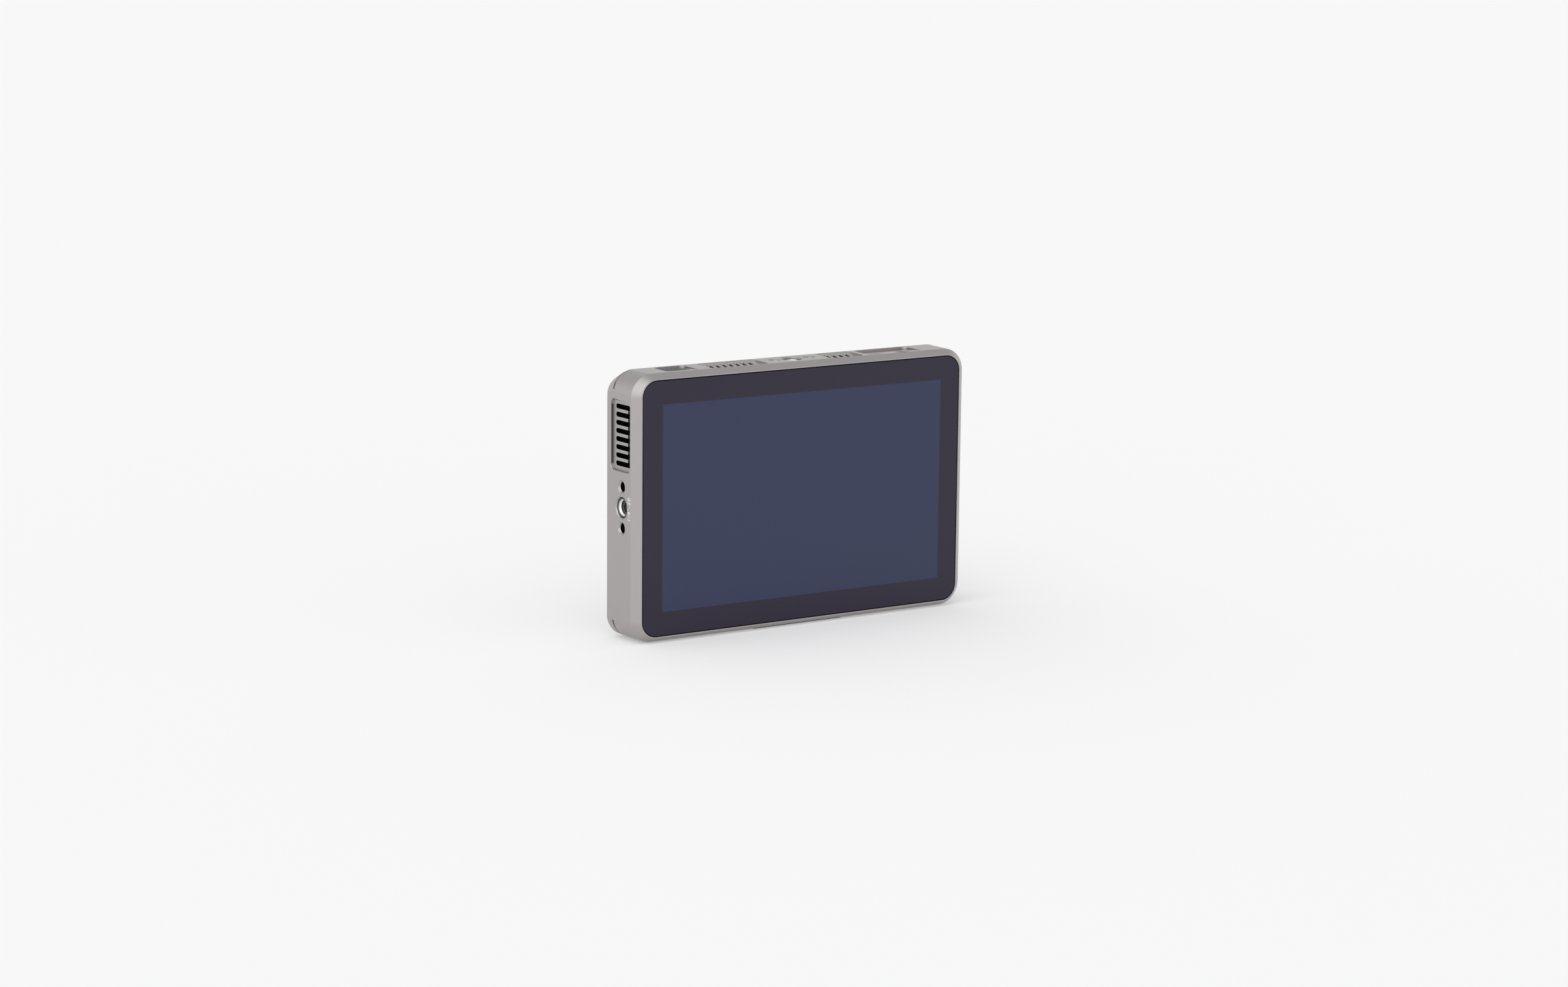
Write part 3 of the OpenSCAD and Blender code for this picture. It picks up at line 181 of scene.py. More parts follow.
def finish(name, colour, metallic, roughness, grain, grain_depth, spread=0.04, patch=18 * mm):
    """A surface whose tone drifts over patches and whose fine grain breaks up the light."""
    material = bpy.data.materials.new(name)
    material.use_nodes = True
    nodes, links = material.node_tree.nodes, material.node_tree.links
    shader = nodes["Principled BSDF"]
    shader.inputs["Metallic"].default_value = metallic
    place = nodes.new("ShaderNodeTexCoord")
    patches = nodes.new("ShaderNodeTexNoise")
    patches.inputs["Scale"].default_value = 1 / patch
    patches.inputs["Detail"].default_value = 3.0
    tone = nodes.new("ShaderNodeMix")
    tone.data_type = "RGBA"
    tone.inputs["A"].default_value = (*(c * (1 - spread) for c in colour), 1)
    tone.inputs["B"].default_value = (*(c * (1 + spread) for c in colour), 1)
    links.new(place.outputs["Object"], patches.inputs["Vector"])
    links.new(patches.outputs["Fac"], tone.inputs["Factor"])
    links.new(tone.outputs["Result"], shader.inputs["Base Color"])
    grains = nodes.new("ShaderNodeTexNoise")
    grains.inputs["Scale"].default_value = 1 / grain
    grains.inputs["Detail"].default_value = 2.0
    gloss = nodes.new("ShaderNodeMapRange")
    gloss.inputs["To Min"].default_value = roughness * 0.88
    gloss.inputs["To Max"].default_value = roughness * 1.12
    relief = nodes.new("ShaderNodeBump")
    relief.inputs["Strength"].default_value = 0.5
    relief.inputs["Distance"].default_value = grain_depth
    links.new(place.outputs["Object"], grains.inputs["Vector"])
    links.new(grains.outputs["Fac"], gloss.inputs["Value"])
    links.new(gloss.outputs["Result"], shader.inputs["Roughness"])
    links.new(grains.outputs["Fac"], relief.inputs["Height"])
    links.new(relief.outputs["Normal"], shader.inputs["Normal"])
    return material


def show(name, bm, materials, body, smooth_to=50.0):
    """Makes the mesh a piece that rides on its body, smooth up to an angle and with even flat faces."""
    mesh = bpy.data.meshes.new(name)
    bm.to_mesh(mesh)
    bm.free()
    if "custom_normal" in mesh.attributes:
        mesh.attributes.remove(mesh.attributes["custom_normal"])
    mesh.shade_smooth()
    mesh.set_sharp_from_angle(angle=math.radians(smooth_to))
    for material in materials:
        mesh.materials.append(material)
    piece = bpy.data.objects.new(name, mesh)
    scene.collection.objects.link(piece)
    even = piece.modifiers.new("even_faces", "WEIGHTED_NORMAL")
    even.keep_sharp = True
    even.weight = 80
    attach(piece, body)
    return piece


sharp_from = math.radians(25.0)         # edges that turn less are left as they are
merge_within = 0.002 * mm
flat_within = math.radians(0.4)


def edge_broken_copy(node, edge, finish_of=None, left_sharp=None, softened=None, soft_edge=0.0):
    """A merged copy of a CAD node with rounded edges: wide ones where softened, none where left sharp."""
    bm = bmesh.new()
    bm.from_mesh(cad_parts[node].data)
    bmesh.ops.remove_doubles(bm, verts=bm.verts, dist=merge_within)
    bmesh.ops.dissolve_limit(bm, angle_limit=flat_within, verts=bm.verts, edges=bm.edges)
    for face in bm.faces:
        face.material_index = int(finish_of(face.calc_center_median(), face.normal)) if finish_of else 0
    if softened:
        soft = [e for e in bm.edges if softened(e)]
        rounded = bmesh.ops.bevel(bm, geom=soft, offset=soft_edge, offset_type="OFFSET", segments=3,
                                  profile=0.5, affect="EDGES", clamp_overlap=False, material=-1)
        for face in rounded["faces"]:
            face.normal_update()
            face.material_index = int(finish_of(face.calc_center_median(), face.normal))
    sharp = [e for e in bm.edges if e.is_manifold and e.calc_face_angle() > sharp_from
             and not (left_sharp and left_sharp(e))]
    bmesh.ops.bevel(bm, geom=sharp, offset=edge, offset_type="OFFSET", segments=2, profile=0.5,
                    affect="EDGES", clamp_overlap=False, material=-1)
    return bm


def left_vent_floor(depth):
    """How far the left vent's floor lies below the side at that depth behind the front plane."""
    along = min(max((depth - recess_front) / (side_recess_rear - ramp_end - recess_front), 0), 1)
    return left_vent_front_sink + (left_vent_rear_sink - left_vent_front_sink) * along


def where_a_recess_runs_out(edge):
    """True for the low walls where the button's and the ports' recesses rise to the surface."""
    middle = (edge.verts[0].co + edge.verts[1].co) / 2
    furthest = max(vert.co.y for vert in edge.verts) - front_y
    beside_a_recess = button_recess_to <= middle.x <= port_recess_from
    if beside_a_recess or housing_high.z - middle.z > shallow_recess:
        return False
    in_front = furthest < recess_front + ramp_front
    along_the_foot = furthest < top_recess_rear + hair and not edge.is_convex
    return recess_front - hair < middle.y - front_y and (in_front or along_the_foot)


def left_vent_rim(edge):
    """True for the outer edge of the left vent's recess, but for its front, which stays sharp."""
    on_the_rim = all(abs(v.co.x - housing_low.x) < 0.01 * mm
                     and rim_depth[0] < v.co.y - front_y < rim_depth[1]
                     and rim_height[0] < v.co.z - mid_z < rim_height[1] for v in edge.verts)
    return on_the_rim and edge.calc_face_angle(0) > 0.5


def stays_sharp(edge):
    """True for the ends of the recesses and for the left vent's rim, which has its own rounding."""
    near_the_rim = all(v.co.x - housing_low.x < rim_zone_sink
                       and recess_front - hair < v.co.y - front_y < rim_zone_rear
                       and rim_zone_height[0] < v.co.z - mid_z < rim_zone_height[1] for v in edge.verts)
    return near_the_rim or where_a_recess_runs_out(edge)


def housing_finish_and_painted_light(centre, normal):
    """0 anodised, 1 painted shade in black inside holes and slots, 2 painted light in the corner slots, 3
    painted shade in dark grey deep in the left vent.
    """
    depth = centre.y - front_y
    from_left = centre.x - housing_low.x
    from_top = housing_high.z - centre.z
    from_base = centre.z - housing_low.z
    height = centre.z - mid_z
    beside_the_vent = left_vent[0] < height < left_vent[1]
    # Inside the left vent: painted shade, dark grey in the link groove and black on the slot walls below the
    # floor.
    if recess_front < depth < side_recess_rear and beside_the_vent and from_left < left_vent_wall:
        if link_groove[0] < depth < link_groove[1] and from_left < link_groove_floor:
            return 3
        return 1 if from_left > left_vent_floor(depth) + slot_wall_from else 0
    # Painted shade in dark grey on the left vent's rear wall and on its upper rounding.
    near_the_rear_wall = depth > side_recess_rear - rear_wall_depth and from_left < rear_wall_sink
    if beside_the_vent and near_the_rear_wall and normal.y < -0.97:
        return 3
    in_the_top_fillet = (top_fillet_height[0] < height < top_fillet_height[1]
                         and top_fillet_depth[0] < depth < top_fillet_depth[1]
                         and from_left < top_fillet_sink)
    if in_the_top_fillet and normal.z < -0.25 and abs(normal.y) < 0.1:
        return 3
    # Painted light: the corner slots' walls are given a paler grey than the body.
    from_corner = math.hypot(abs(centre.x) - (housing_high.x - corner_radius),
                             abs(height) - (housing_high.z - mid_z - corner_radius))
    if (corner_slot[0] < depth < corner_slot[1]
            and corner_slot_reach[0] < from_corner < corner_slot_reach[1]):
        return 2
    # Painted shade in black inside the pin holes and the thread bushes' seats.
    for across, inward in ((height, from_left), (centre.x, from_top), (centre.x, from_base)):
        off_the_pin = math.hypot(depth - thread_depth, abs(across) - pin_offset)
        if off_the_pin < pin_hole and pin_sink[0] < inward < pin_sink[1]:
            return 1
        if math.hypot(depth - thread_depth, across) < bush_hole and bush_sink[0] < inward < bush_sink[1]:
            return 1
    return 0


anodised_grey = finish("anodised_grey", housing_grey, 1.0, 0.42, 0.16 * mm, 0.012 * mm, 0.02)
# Black that paints the shade inside the holes and the left slots.
painted_shade_black = finish("painted_shade_black", (0.002, 0.002, 0.002), 0.0, 0.85, 0.3 * mm, 0.01 * mm)
painted_shade_black.node_tree.nodes["Principled BSDF"].inputs["Specular IOR Level"].default_value = 0.0
# Paler grey on the corner slots' walls: painted light and glint.
painted_light_grey = finish("painted_light_grey", (0.62, 0.61, 0.61), 1.0, 0.5, 0.16 * mm, 0.012 * mm, 0.02)
# Dark grey for the deep parts of the left vent: painted shade.
painted_shade_grey = finish("painted_shade_grey", (0.075, 0.07, 0.069), 1.0, 0.42, 0.16 * mm, 0.012 * mm, 0.02)
housing = show("housing_milled",
               edge_broken_copy("housing", housing_edge, housing_finish_and_painted_light, left_sharp=stays_sharp,
                                softened=left_vent_rim, soft_edge=rim_radius),
               (anodised_grey, painted_shade_black, painted_light_grey, painted_shade_grey), "monitor")
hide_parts("housing")

# ---------------------------------------------------------------- cover glass
# One sheet of toughened glass is bonded over the whole front. Its back is printed dark round the
# picture area, through which the switched-off panel shows as a flat blue grey.
glass_low, glass_high = (Vector(corner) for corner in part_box("cover_glass"))
glass_corner = 7.1 * mm
glass_edge = 0.28 * mm
picture_w = 150.8 * mm
picture_h = 94.3 * mm
picture_softness = 0.5 * mm
border_tone = (0.006, 0.0022, 0.018)
picture_tone = (0.0145, 0.021, 0.067)


def round_cornered_sheet(low, high, corner, steps):
    """Upright sheet between two corners of its box, its corners rounded seen from the front."""
    bm = bmesh.new()
    corners = ((low.x, low.z), (high.x, low.z), (high.x, high.z), (low.x, high.z))
    quad = [bm.verts.new((x, low.y, z)) for x, z in corners]
    bm.faces.new(quad)
    bmesh.ops.bevel(bm, geom=quad, offset=corner, offset_type="OFFSET", segments=steps, profile=0.5,
                    affect="VERTICES", clamp_overlap=False, material=-1)
    pushed = bmesh.ops.extrude_face_region(bm, geom=bm.faces[:])["geom"]
    back = [v for v in pushed if isinstance(v, bmesh.types.BMVert)]
    bmesh.ops.translate(bm, vec=(0, high.y - low.y, 0), verts=back)
    bmesh.ops.recalc_face_normals(bm, faces=bm.faces)
    return bm


bm = round_cornered_sheet(glass_low, glass_high, glass_corner, 20)
rim = [e for e in bm.edges if all(abs(v.co.y - glass_low.y) < 1e-6 for v in e.verts)]
bmesh.ops.bevel(bm, geom=rim, offset=glass_edge, offset_type="OFFSET", segments=4, profile=0.5,
                affect="EDGES", clamp_overlap=False, material=-1)
screen_glass = finish("screen_glass", border_tone, 0.0, 0.045, 30 * mm, 0.0, 0.03, 60 * mm)
nodes, links = screen_glass.node_tree.nodes, screen_glass.node_tree.links
shader = nodes["Principled BSDF"]
shader.inputs["IOR"].default_value = 1.5
for link in list(shader.inputs["Normal"].links):
    links.remove(link)
place = nodes["Texture Coordinate"]
axes = nodes.new("ShaderNodeSeparateXYZ")
links.new(place.outputs["Object"], axes.inputs["Vector"])
inside = []
for axis, middle, half in (("X", 0.0, picture_w / 2), ("Z", mid_z, picture_h / 2)):
    from_middle = nodes.new("ShaderNodeMath")
    from_middle.operation = "SUBTRACT"
    from_middle.inputs[1].default_value = middle
    size = nodes.new("ShaderNodeMath")
    size.operation = "ABSOLUTE"
    within = nodes.new("ShaderNodeMapRange")
    within.interpolation_type = "SMOOTHSTEP"
    within.inputs["From Min"].default_value = half + picture_softness / 2
    within.inputs["From Max"].default_value = half - picture_softness / 2
    links.new(axes.outputs[axis], from_middle.inputs[0])
    links.new(from_middle.outputs["Value"], size.inputs[0])
    links.new(size.outputs["Value"], within.inputs["Value"])
    inside.append(within)
both = nodes.new("ShaderNodeMath")
both.operation = "MULTIPLY"
links.new(inside[0].outputs["Result"], both.inputs[0])
links.new(inside[1].outputs["Result"], both.inputs[1])
picture = nodes.new("ShaderNodeMix")
picture.data_type = "RGBA"
picture.inputs["B"].default_value = (*picture_tone, 1)
links.new(both.outputs["Value"], picture.inputs["Factor"])
links.new(nodes["Mix"].outputs["Result"], picture.inputs["A"])
links.new(picture.outputs["Result"], shader.inputs["Base Color"])
front_glass = show("front_glass", bm, (screen_glass,), "monitor")
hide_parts("cover_glass")


def dress(node, material):
    """Gives a CAD node that keeps its own shape its finish."""
    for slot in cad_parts[node].material_slots:
        slot.material = material


# ---------------------------------------------------------------- gasket
# A thin black bead of silicone fills the gap round the glass and carries it on the ledge. It is laid
# wet, wiped level and left matt.
silicone_black = finish("silicone_black", (0.003, 0.003, 0.0035), 0.0, 0.6, 0.4 * mm, 0.01 * mm)
silicone_black.node_tree.nodes["Principled BSDF"].inputs["Specular IOR Level"].default_value = 0.15
dress("glass_gasket", silicone_black)

# ---------------------------------------------------------------- camera thread inserts
# Steel bushes are turned, tapped with a quarter-inch camera thread of twenty turns to the inch, and
# pressed into the left, top and bottom faces. The mouth is countersunk and polished. The thread's roots
# and flanks and the gap round the collar carry painted shade in near black, and the crests and the
# mouth a painted highlight in near-white steel.
insert_radius = 4.65 * mm
insert_length = 7.0 * mm
insert_set_back = 0.6 * mm
collar_radius = 4.42 * mm
collar_length = 1.1 * mm
collar_break = 0.12 * mm
step_radius = 3.95 * mm
step_depth = 0.4 * mm
mouth_radius = 3.7 * mm
mouth_depth = 1.35 * mm
thread_root = 3.22 * mm
thread_crest = 2.62 * mm
thread_pitch = 1.27 * mm
thread_flat = 0.26 * mm
turn_gap = 0.02 * mm     # left between two turns
root_bury = 0.06 * mm    # how deep the turns' roots run into the bore's wall
steps_per_turn = 36


def tapped_bush(name, node, onto_face):
    """Bush with a true helical thread, made about its own axis and then set onto one face of the body."""
    bm = bmesh.new()
    top = insert_length
    outline = ((thread_root, 0), (thread_root, top - mouth_depth), (mouth_radius, top - step_depth),
               (step_radius, top), (collar_radius - collar_break, top), (collar_radius, top - collar_break),
               (collar_radius, top - collar_length), (insert_radius, top - collar_length), (insert_radius, 0))
    ring = [bm.verts.new((r, 0, z)) for r, z in outline]
    edges = [bm.edges.new((ring[i - 1], ring[i])) for i in range(len(ring))]
    bmesh.ops.spin(bm, geom=ring + edges, cent=(0, 0, 0), axis=(0, 0, 1), dvec=(0, 0, 0),
                   angle=2 * math.pi, steps=72, use_merge=True, use_duplicate=False)
    turns = (top - mouth_depth * 0.9 - thread_pitch) / thread_pitch
    half = thread_pitch / 2 - turn_gap
    start = half + turn_gap
    buried = thread_root + root_bury
    tooth = ((buried, -half), (thread_crest, -thread_flat / 2), (thread_crest, thread_flat / 2),
             (buried, half))
    profile = [bm.verts.new((r, 0, start + z)) for r, z in tooth]
    bmesh.ops.spin(bm, geom=[bm.faces.new(profile), *profile], cent=(0, 0, 0), axis=(0, 0, 1),
                   dvec=(0, 0, thread_pitch / steps_per_turn), angle=2 * math.pi * turns,
                   steps=round(turns * steps_per_turn), use_merge=False, use_duplicate=False)
    bmesh.ops.recalc_face_normals(bm, faces=bm.faces)
    for face in bm.faces:
        middle = face.calc_center_median()
        radius = math.hypot(middle.x, middle.y)
        in_thread = thread_crest * 1.01 < radius < thread_root * 1.01
        in_gap = radius > collar_radius * 0.99 and middle.z < top - 0.13 * mm
        in_mouth = middle.z > top - mouth_depth and radius < mouth_radius
        on_crest = radius < thread_crest * 1.01
        on_step = middle.z > top - step_depth
        # Index 1 is painted shade on the roots, flanks and collar gap; index 3 is painted highlight on the
        # crests and the polished mouth.
        face.material_index = 3 if in_mouth or on_crest else 1 if in_thread or in_gap else 2 if on_step else 0
    bmesh.ops.transform(bm, matrix=onto_face, verts=bm.verts)
    steels = (turned_steel, painted_shade_steel, dull_steel, polished_steel_painted_highlight)
    bush = show(name, bm, steels, "monitor", 24.0)
    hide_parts(node)


turned_steel = finish("turned_steel", (0.66, 0.655, 0.65), 1.0, 0.16, 0.5 * mm, 0.004 * mm, 0.05, 3 * mm)
# Near black for the thread's roots and flanks and the collar's gap: painted shade.
painted_shade_steel = finish("painted_shade_steel", (0.008, 0.008, 0.008), 0.0, 0.5, 0.3 * mm, 0.004 * mm)
dull_steel = finish("dull_steel", (0.14, 0.135, 0.13), 1.0, 0.3, 0.3 * mm, 0.004 * mm)
# Near-white steel for the crests and the polished mouth: partly real polish, partly painted highlight.
polished_steel_painted_highlight = finish("polished_steel_painted_highlight", (0.9, 0.9, 0.89), 0.6, 0.3, 0.3 * mm, 0.004 * mm)
thread_y = front_y + thread_depth
sunk = insert_set_back + insert_length
faces_left = Matrix.Rotation(-math.pi / 2, 4, "Y")
faces_down = Matrix.Rotation(math.pi, 4, "X")
tapped_bush("thread_bush_left", "left_thread_insert",
            Matrix.Translation((housing_low.x + sunk, thread_y, mid_z)) @ faces_left)
tapped_bush("thread_bush_top", "top_thread_insert", Matrix.Translation((0, thread_y, housing_high.z - sunk)))
tapped_bush("thread_bush_bottom", "bottom_thread_insert",
            Matrix.Translation((0, thread_y, housing_low.z + sunk)) @ faces_down)

# ---------------------------------------------------------------- thread size mark
# The thread's size is printed beside the left thread in thin white ink. It is the plain standard size
# of any such thread, slanted a little, and it reads upwards.
mark_height = 2.25 * mm
mark_thickness = 0.02 * mm
mark_depth = 4.85 * mm
mark_slant = 0.12
mark_spacing = 1.2
size_for_height = 1.35   # the font's size for a numeral one unit high


def size_mark(name, words, onto_face):
    """Printed numbers, made a mesh while they still lie flat, then laid on one face of the body."""
    writing = bpy.data.curves.new(name, "FONT")
    writing.body = words
    writing.size = mark_height * size_for_height
    writing.extrude = mark_thickness / 2
    writing.align_x = "CENTER"
    writing.align_y = "CENTER"
    writing.space_character = mark_spacing
    writing.shear = mark_slant
    flat = bpy.data.objects.new(name + "_flat", writing)
    scene.collection.objects.link(flat)
    bpy.context.view_layer.update()
    printed = bpy.data.meshes.new_from_object(flat.evaluated_get(bpy.context.evaluated_depsgraph_get()))
    bpy.data.objects.remove(flat)
    bm = bmesh.new()
    bm.from_mesh(printed)
    bmesh.ops.remove_doubles(bm, verts=bm.verts, dist=0.001 * mm)
    bmesh.ops.transform(bm, matrix=onto_face, verts=bm.verts)
    show(name, bm, (white_ink,), "monitor")


white_ink = finish("white_ink", (0.88, 0.88, 0.87), 0.0, 0.55, 0.1 * mm, 0.002 * mm)
onto_left_side = Matrix(((0, 0, -1, 0), (-1, 0, 0, 0), (0, 1, 0, 0), (0, 0, 0, 1)))
reads_upwards = Matrix.Rotation(math.pi / 2, 4, "Z")
size_mark("thread_size_left", '1/4"-20',
          Matrix.Translation((housing_low.x, front_y + mark_depth, mid_z)) @ onto_left_side @ reads_upwards)

# ---------------------------------------------------------------- dust screens
# Fine black woven nylon is glued behind each row of slots, so that air passes but nothing shows
# through them.
weave_pitch = 0.32 * mm


def woven(name, colour, pitch):
    """Two crossed sets of threads, raised in turn, with dark gaps between them."""
    material = finish(name, colour, 0.0, 0.75, pitch / 3, 0.004 * mm)
    nodes, links = material.node_tree.nodes, material.node_tree.links
    place, relief = nodes["Texture Coordinate"], nodes["Bump"]
    heights = []
    for along in ("X", "Y", "Z"):
        threads = nodes.new("ShaderNodeTexWave")
        threads.bands_direction = along
        threads.inputs["Scale"].default_value = math.pi / (10 * pitch)
        links.new(place.outputs["Object"], threads.inputs["Vector"])
        heights.append(threads)
    crossed = nodes.new("ShaderNodeMath")
    crossed.operation = "MAXIMUM"
    links.new(heights[0].outputs["Fac"], crossed.inputs[0])
    links.new(heights[1].outputs["Fac"], crossed.inputs[1])
    all_three = nodes.new("ShaderNodeMath")
    all_three.operation = "MULTIPLY"
    links.new(crossed.outputs["Value"], all_three.inputs[0])
    links.new(heights[2].outputs["Fac"], all_three.inputs[1])
    relief.inputs["Distance"].default_value = pitch / 4
    links.new(all_three.outputs["Value"], relief.inputs["Height"])
    return material


black_mesh = woven("black_mesh", (0.0025, 0.0025, 0.0025), weave_pitch)
black_mesh.node_tree.nodes["Principled BSDF"].inputs["Specular IOR Level"].default_value = 0.0
dress("left_dust_screen", black_mesh)
dress("top_dust_screens", black_mesh)

# ---------------------------------------------------------------- bottom pad
# A moulded rubber pad sits in a shallow recess under the body round the lower thread. Its rim is
# rounded, and its face is finely grained so that the body doesn't slip.
pad_edge = 0.12 * mm
pad_rubber = finish("pad_rubber", (0.022, 0.022, 0.024), 0.0, 0.72, 0.25 * mm, 0.03 * mm)
pad = show("bottom_pad_moulded", edge_broken_copy("bottom_pad", pad_edge), (pad_rubber,),
           "monitor")
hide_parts("bottom_pad")

# ---------------------------------------------------------------- display stack
# Behind the glass lie the liquid-crystal panel, its white backlight tray and the pressed aluminium
# frame that closes the stack and carries the main board on its standoffs.
panel_glass = finish("panel_glass", (0.016, 0.018, 0.03), 0.0, 0.2, 0.4 * mm, 0.0015 * mm)
tray_white = finish("tray_white", (0.74, 0.74, 0.75), 0.0, 0.5, 0.4 * mm, 0.006 * mm)
pressed_aluminium = finish("pressed_aluminium", (0.62, 0.62, 0.63), 1.0, 0.38, 0.25 * mm, 0.01 * mm)
dress("lcd_panel", panel_glass)
dress("backlight_unit", tray_white)
dress("mid_frame", pressed_aluminium)

# ---------------------------------------------------------------- circuit boards
# Glass-fibre boards under green resist, with copper tracks just showing through it and gilt pads.
# The chips are black epoxy, and the heat sink is pressed onto the processor.
board_green = (0.008, 0.075, 0.035)
track_green = (0.02, 0.16, 0.07)
pad_gilt = (0.75, 0.52, 0.18)
pad_spacing = 2.6 * mm
track_spacing = 4 * mm


def etched_board(name):
    """Green resist over tracks that run in cells, with small bright pads."""
    material = finish(name, board_green, 0.0, 0.34, 0.3 * mm, 0.003 * mm)
    nodes, links = material.node_tree.nodes, material.node_tree.links
    place, shader, base = nodes["Texture Coordinate"], nodes["Principled BSDF"], nodes["Mix"]
    cells = nodes.new("ShaderNodeTexVoronoi")
    cells.distance = "MANHATTAN"
    cells.inputs["Scale"].default_value = 1 / pad_spacing
    links.new(place.outputs["Object"], cells.inputs["Vector"])
    tracks = nodes.new("ShaderNodeTexBrick")
    tracks.inputs["Color1"].default_value = (*board_green, 1)
    tracks.inputs["Color2"].default_value = (*(c * 1.15 for c in board_green), 1)
    tracks.inputs["Mortar"].default_value = (*track_green, 1)
    tracks.inputs["Scale"].default_value = 1 / track_spacing
    tracks.inputs["Mortar Size"].default_value = 0.035
    lying = nodes.new("ShaderNodeMapping")
    lying.inputs["Rotation"].default_value = (math.pi / 2, 0, 0)
    links.new(place.outputs["Object"], lying.inputs["Vector"])
    links.new(lying.outputs["Vector"], tracks.inputs["Vector"])
    pads = nodes.new("ShaderNodeMapRange")
    pads.inputs["From Min"].default_value = 0.16
    pads.inputs["From Max"].default_value = 0.12
    links.new(cells.outputs["Distance"], pads.inputs["Value"])
    painted = nodes.new("ShaderNodeMix")
    painted.data_type = "RGBA"
    painted.inputs["B"].default_value = (*pad_gilt, 1)
    links.new(tracks.outputs["Color"], painted.inputs["A"])
    links.new(pads.outputs["Result"], painted.inputs["Factor"])
    links.new(painted.outputs["Result"], shader.inputs["Base Color"])
    nodes.remove(base)
    return material


green_board = etched_board("green_board")
chip_resin = finish("chip_resin", (0.018, 0.018, 0.02), 0.0, 0.55, 0.12 * mm, 0.004 * mm)
extruded_aluminium = finish("extruded_aluminium", (0.7, 0.7, 0.71), 1.0, 0.3, 0.2 * mm, 0.006 * mm)
dress("main_board", green_board)
dress("power_board", green_board)
dress("processor_chip", chip_resin)
dress("board_chips", chip_resin)
dress("heat_sink", extruded_aluminium)

# ---------------------------------------------------------------- flat cables
# Amber polyimide film with copper tracks runs from the panel, and a black ribbon of fine wires
# from the battery board.
film_amber = finish("film_amber", (0.42, 0.2, 0.035), 0.0, 0.3, 0.5 * mm, 0.002 * mm)
ribbon_black = finish("ribbon_black", (0.015, 0.015, 0.016), 0.0, 0.5, 0.4 * mm, 0.02 * mm)
dress("display_cable", film_amber)
dress("power_cable", ribbon_black)

# ---------------------------------------------------------------- fan
# A flat blower stands behind the left slots: a moulded frame open to the rear, and a wheel that
# turns on its fixed spindle.
fan_black = finish("fan_black", (0.014, 0.014, 0.015), 0.0, 0.42, 0.2 * mm, 0.006 * mm)
wheel_black = finish("wheel_black", (0.02, 0.02, 0.022), 0.0, 0.36, 0.2 * mm, 0.004 * mm)
dress("fan_frame", fan_black)
dress("fan_rotor", wheel_black)

# ---------------------------------------------------------------- power button
# A dark moulded cap stands in the left recess of the top side, over a small switch on the board. The
# switch's own spring pushes it out again.
button_edge = 0.22 * mm
button_grey = finish("button_grey", (0.035, 0.035, 0.037), 0.0, 0.5, 0.15 * mm, 0.008 * mm)
switch_body = finish("switch_body", (0.03, 0.03, 0.032), 0.0, 0.45, 0.2 * mm, 0.004 * mm)
button = show("power_button_cap", edge_broken_copy("power_button", button_edge), (button_grey,),
              "power_key")
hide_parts("power_button")
dress("power_switch", switch_body)

# ---------------------------------------------------------------- sockets
# Folded steel shells for the serial and video sockets, each round a black tongue, and black moulded
# jacks for the headphones and the power plug, the latter with a steel pin.
usb_low, usb_high = (Vector(corner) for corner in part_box("usb_port"))
usb_middle = (usb_low + usb_high) / 2
video_low, video_high = (Vector(corner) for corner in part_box("hdmi_input_port"))
video_depth = (video_low.y + video_high.y) / 2
inlet_low, inlet_high = (Vector(corner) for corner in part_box("dc_input_jack"))
inlet_middle = (inlet_low + inlet_high) / 2
inlet_depth = 14.4 * mm  # of its axis behind the front plane
usb_tongue_w = 3.3 * mm  # these and the next: half the size of what they name, and a little over
usb_tongue_t = 0.5 * mm
video_tongue_t = 0.62 * mm
video_tongue_forward = 0.35 * mm
video_mouth = 0.8 * mm
inlet_pin = 1.3 * mm
inlet_mouth = 1.2 * mm
shell_edge = 0.05 * mm
jack_edge = 0.12 * mm
inlet_edge = 0.1 * mm
drawn_steel = finish("drawn_steel", (0.56, 0.56, 0.57), 1.0, 0.26, 0.3 * mm, 0.004 * mm)
tongue_black = finish("tongue_black", (0.012, 0.012, 0.013), 0.0, 0.45, 0.15 * mm, 0.004 * mm)
jack_black = finish("jack_black", (0.01, 0.01, 0.011), 0.0, 0.4, 0.15 * mm, 0.004 * mm)


def on_the_usb_tongue(centre, normal):
    """True for the faces of the small blade inside the serial socket."""
    return abs(centre.y - usb_middle.y) < usb_tongue_t and abs(centre.x - usb_middle.x) < usb_tongue_w


def on_a_video_tongue(centre, normal):
    """True for the faces of the blade inside a video socket."""
    off_the_middle = abs(centre.y - video_depth + video_tongue_forward)
    return off_the_middle < video_tongue_t and centre.x < video_high.x - video_mouth


def on_the_inlet_pin(centre, normal):
    """True for the faces of the pin in the middle of the power inlet."""
    off_axis = math.hypot(centre.y - front_y - inlet_depth, centre.z - inlet_middle.z)
    return off_axis < inlet_pin and centre.x > inlet_low.x + inlet_mouth


usb = show("usb_socket_shell", edge_broken_copy("usb_port", shell_edge, on_the_usb_tongue),
           (drawn_steel, tongue_black), "monitor")
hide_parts("usb_port")
for node in ("hdmi_input_port", "hdmi_output_port"):
    video = show(node + "_shell", edge_broken_copy(node, shell_edge, on_a_video_tongue),
                 (drawn_steel, tongue_black), "monitor")
    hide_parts(node)
jack = show("headphone_jack_body", edge_broken_copy("headphone_jack", jack_edge), (jack_black,),
            "monitor")
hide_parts("headphone_jack")
inlet = show("power_inlet_body", edge_broken_copy("dc_input_jack", inlet_edge, on_the_inlet_pin),
             (jack_black, drawn_steel), "monitor")
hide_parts("dc_input_jack")

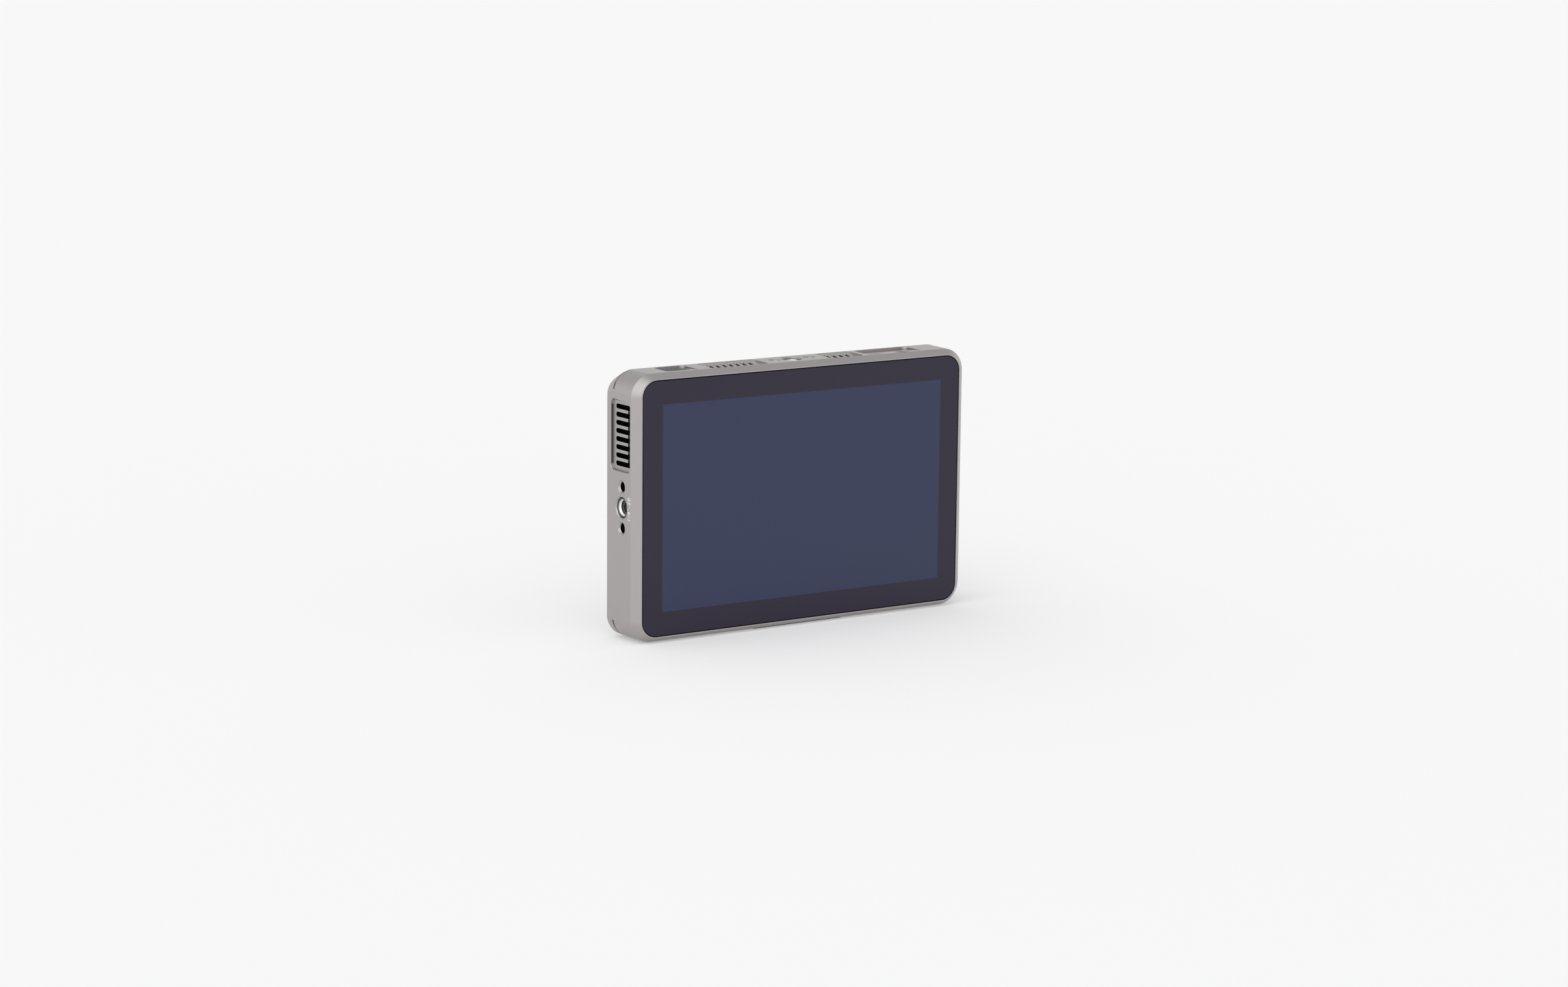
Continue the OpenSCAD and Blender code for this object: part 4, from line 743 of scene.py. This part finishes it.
# ---------------------------------------------------------------- rear cover
# A second milled plate closes the back, a shade darker than the body, with two rows of air slots.
# It is held by eight countersunk black screws.
cover_edge = 0.12 * mm
cover_grey = finish("cover_grey", (0.33, 0.318, 0.316), 1.0, 0.44, 0.16 * mm, 0.012 * mm, 0.02)
rear_cover = show("rear_cover_milled", edge_broken_copy("rear_cover", cover_edge), (cover_grey,),
                  "monitor")
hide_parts("rear_cover")

# ---------------------------------------------------------------- battery plates
# Two black moulded plates are screwed on side by side. Each has four hooks that a camcorder battery
# slides under, three gilt contact blades in slots, and a sprung catch that is pressed to let it go.
plate_edge = 0.2 * mm
release_edge = 0.12 * mm
plate_black = finish("plate_black", (0.016, 0.016, 0.017), 0.0, 0.52, 0.22 * mm, 0.018 * mm)
release_red = finish("release_red", (0.30, 0.018, 0.012), 0.0, 0.42, 0.2 * mm, 0.008 * mm)
gilt_brass = finish("gilt_brass", (0.83, 0.62, 0.28), 1.0, 0.24, 0.2 * mm, 0.003 * mm)
for side, catch in (("left", "left_release"), ("right", "right_release")):
    plate = show(f"battery_plate_{side}_moulded", edge_broken_copy("battery_plate_" + side, plate_edge),
                 (plate_black,), "monitor")
    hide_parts("battery_plate_" + side)
    release = show(f"release_button_{side}_cap", edge_broken_copy("release_button_" + side, release_edge),
                   (release_red,), catch)
    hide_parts("release_button_" + side)
    dress("battery_contacts_" + side, gilt_brass)

# ---------------------------------------------------------------- screws
# The screws inside are zinc-plated steel. Those that show, in the rear cover and the battery plates,
# are blackened, with hexagon sockets in turned heads.
screw_edge = 0.08 * mm
zinc_steel = finish("zinc_steel", (0.58, 0.58, 0.56), 1.0, 0.3, 0.15 * mm, 0.003 * mm)
black_steel = finish("black_steel", (0.03, 0.03, 0.032), 0.85, 0.4, 0.15 * mm, 0.004 * mm)
for node in ("frame_screws", "board_screws", "fan_screws"):
    dress(node, zinc_steel)
for node in ("cover_screws", "plate_screws"):
    heads = show(node + "_turned", edge_broken_copy(node, screw_edge), (black_steel,),
                 "monitor")
    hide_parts(node)
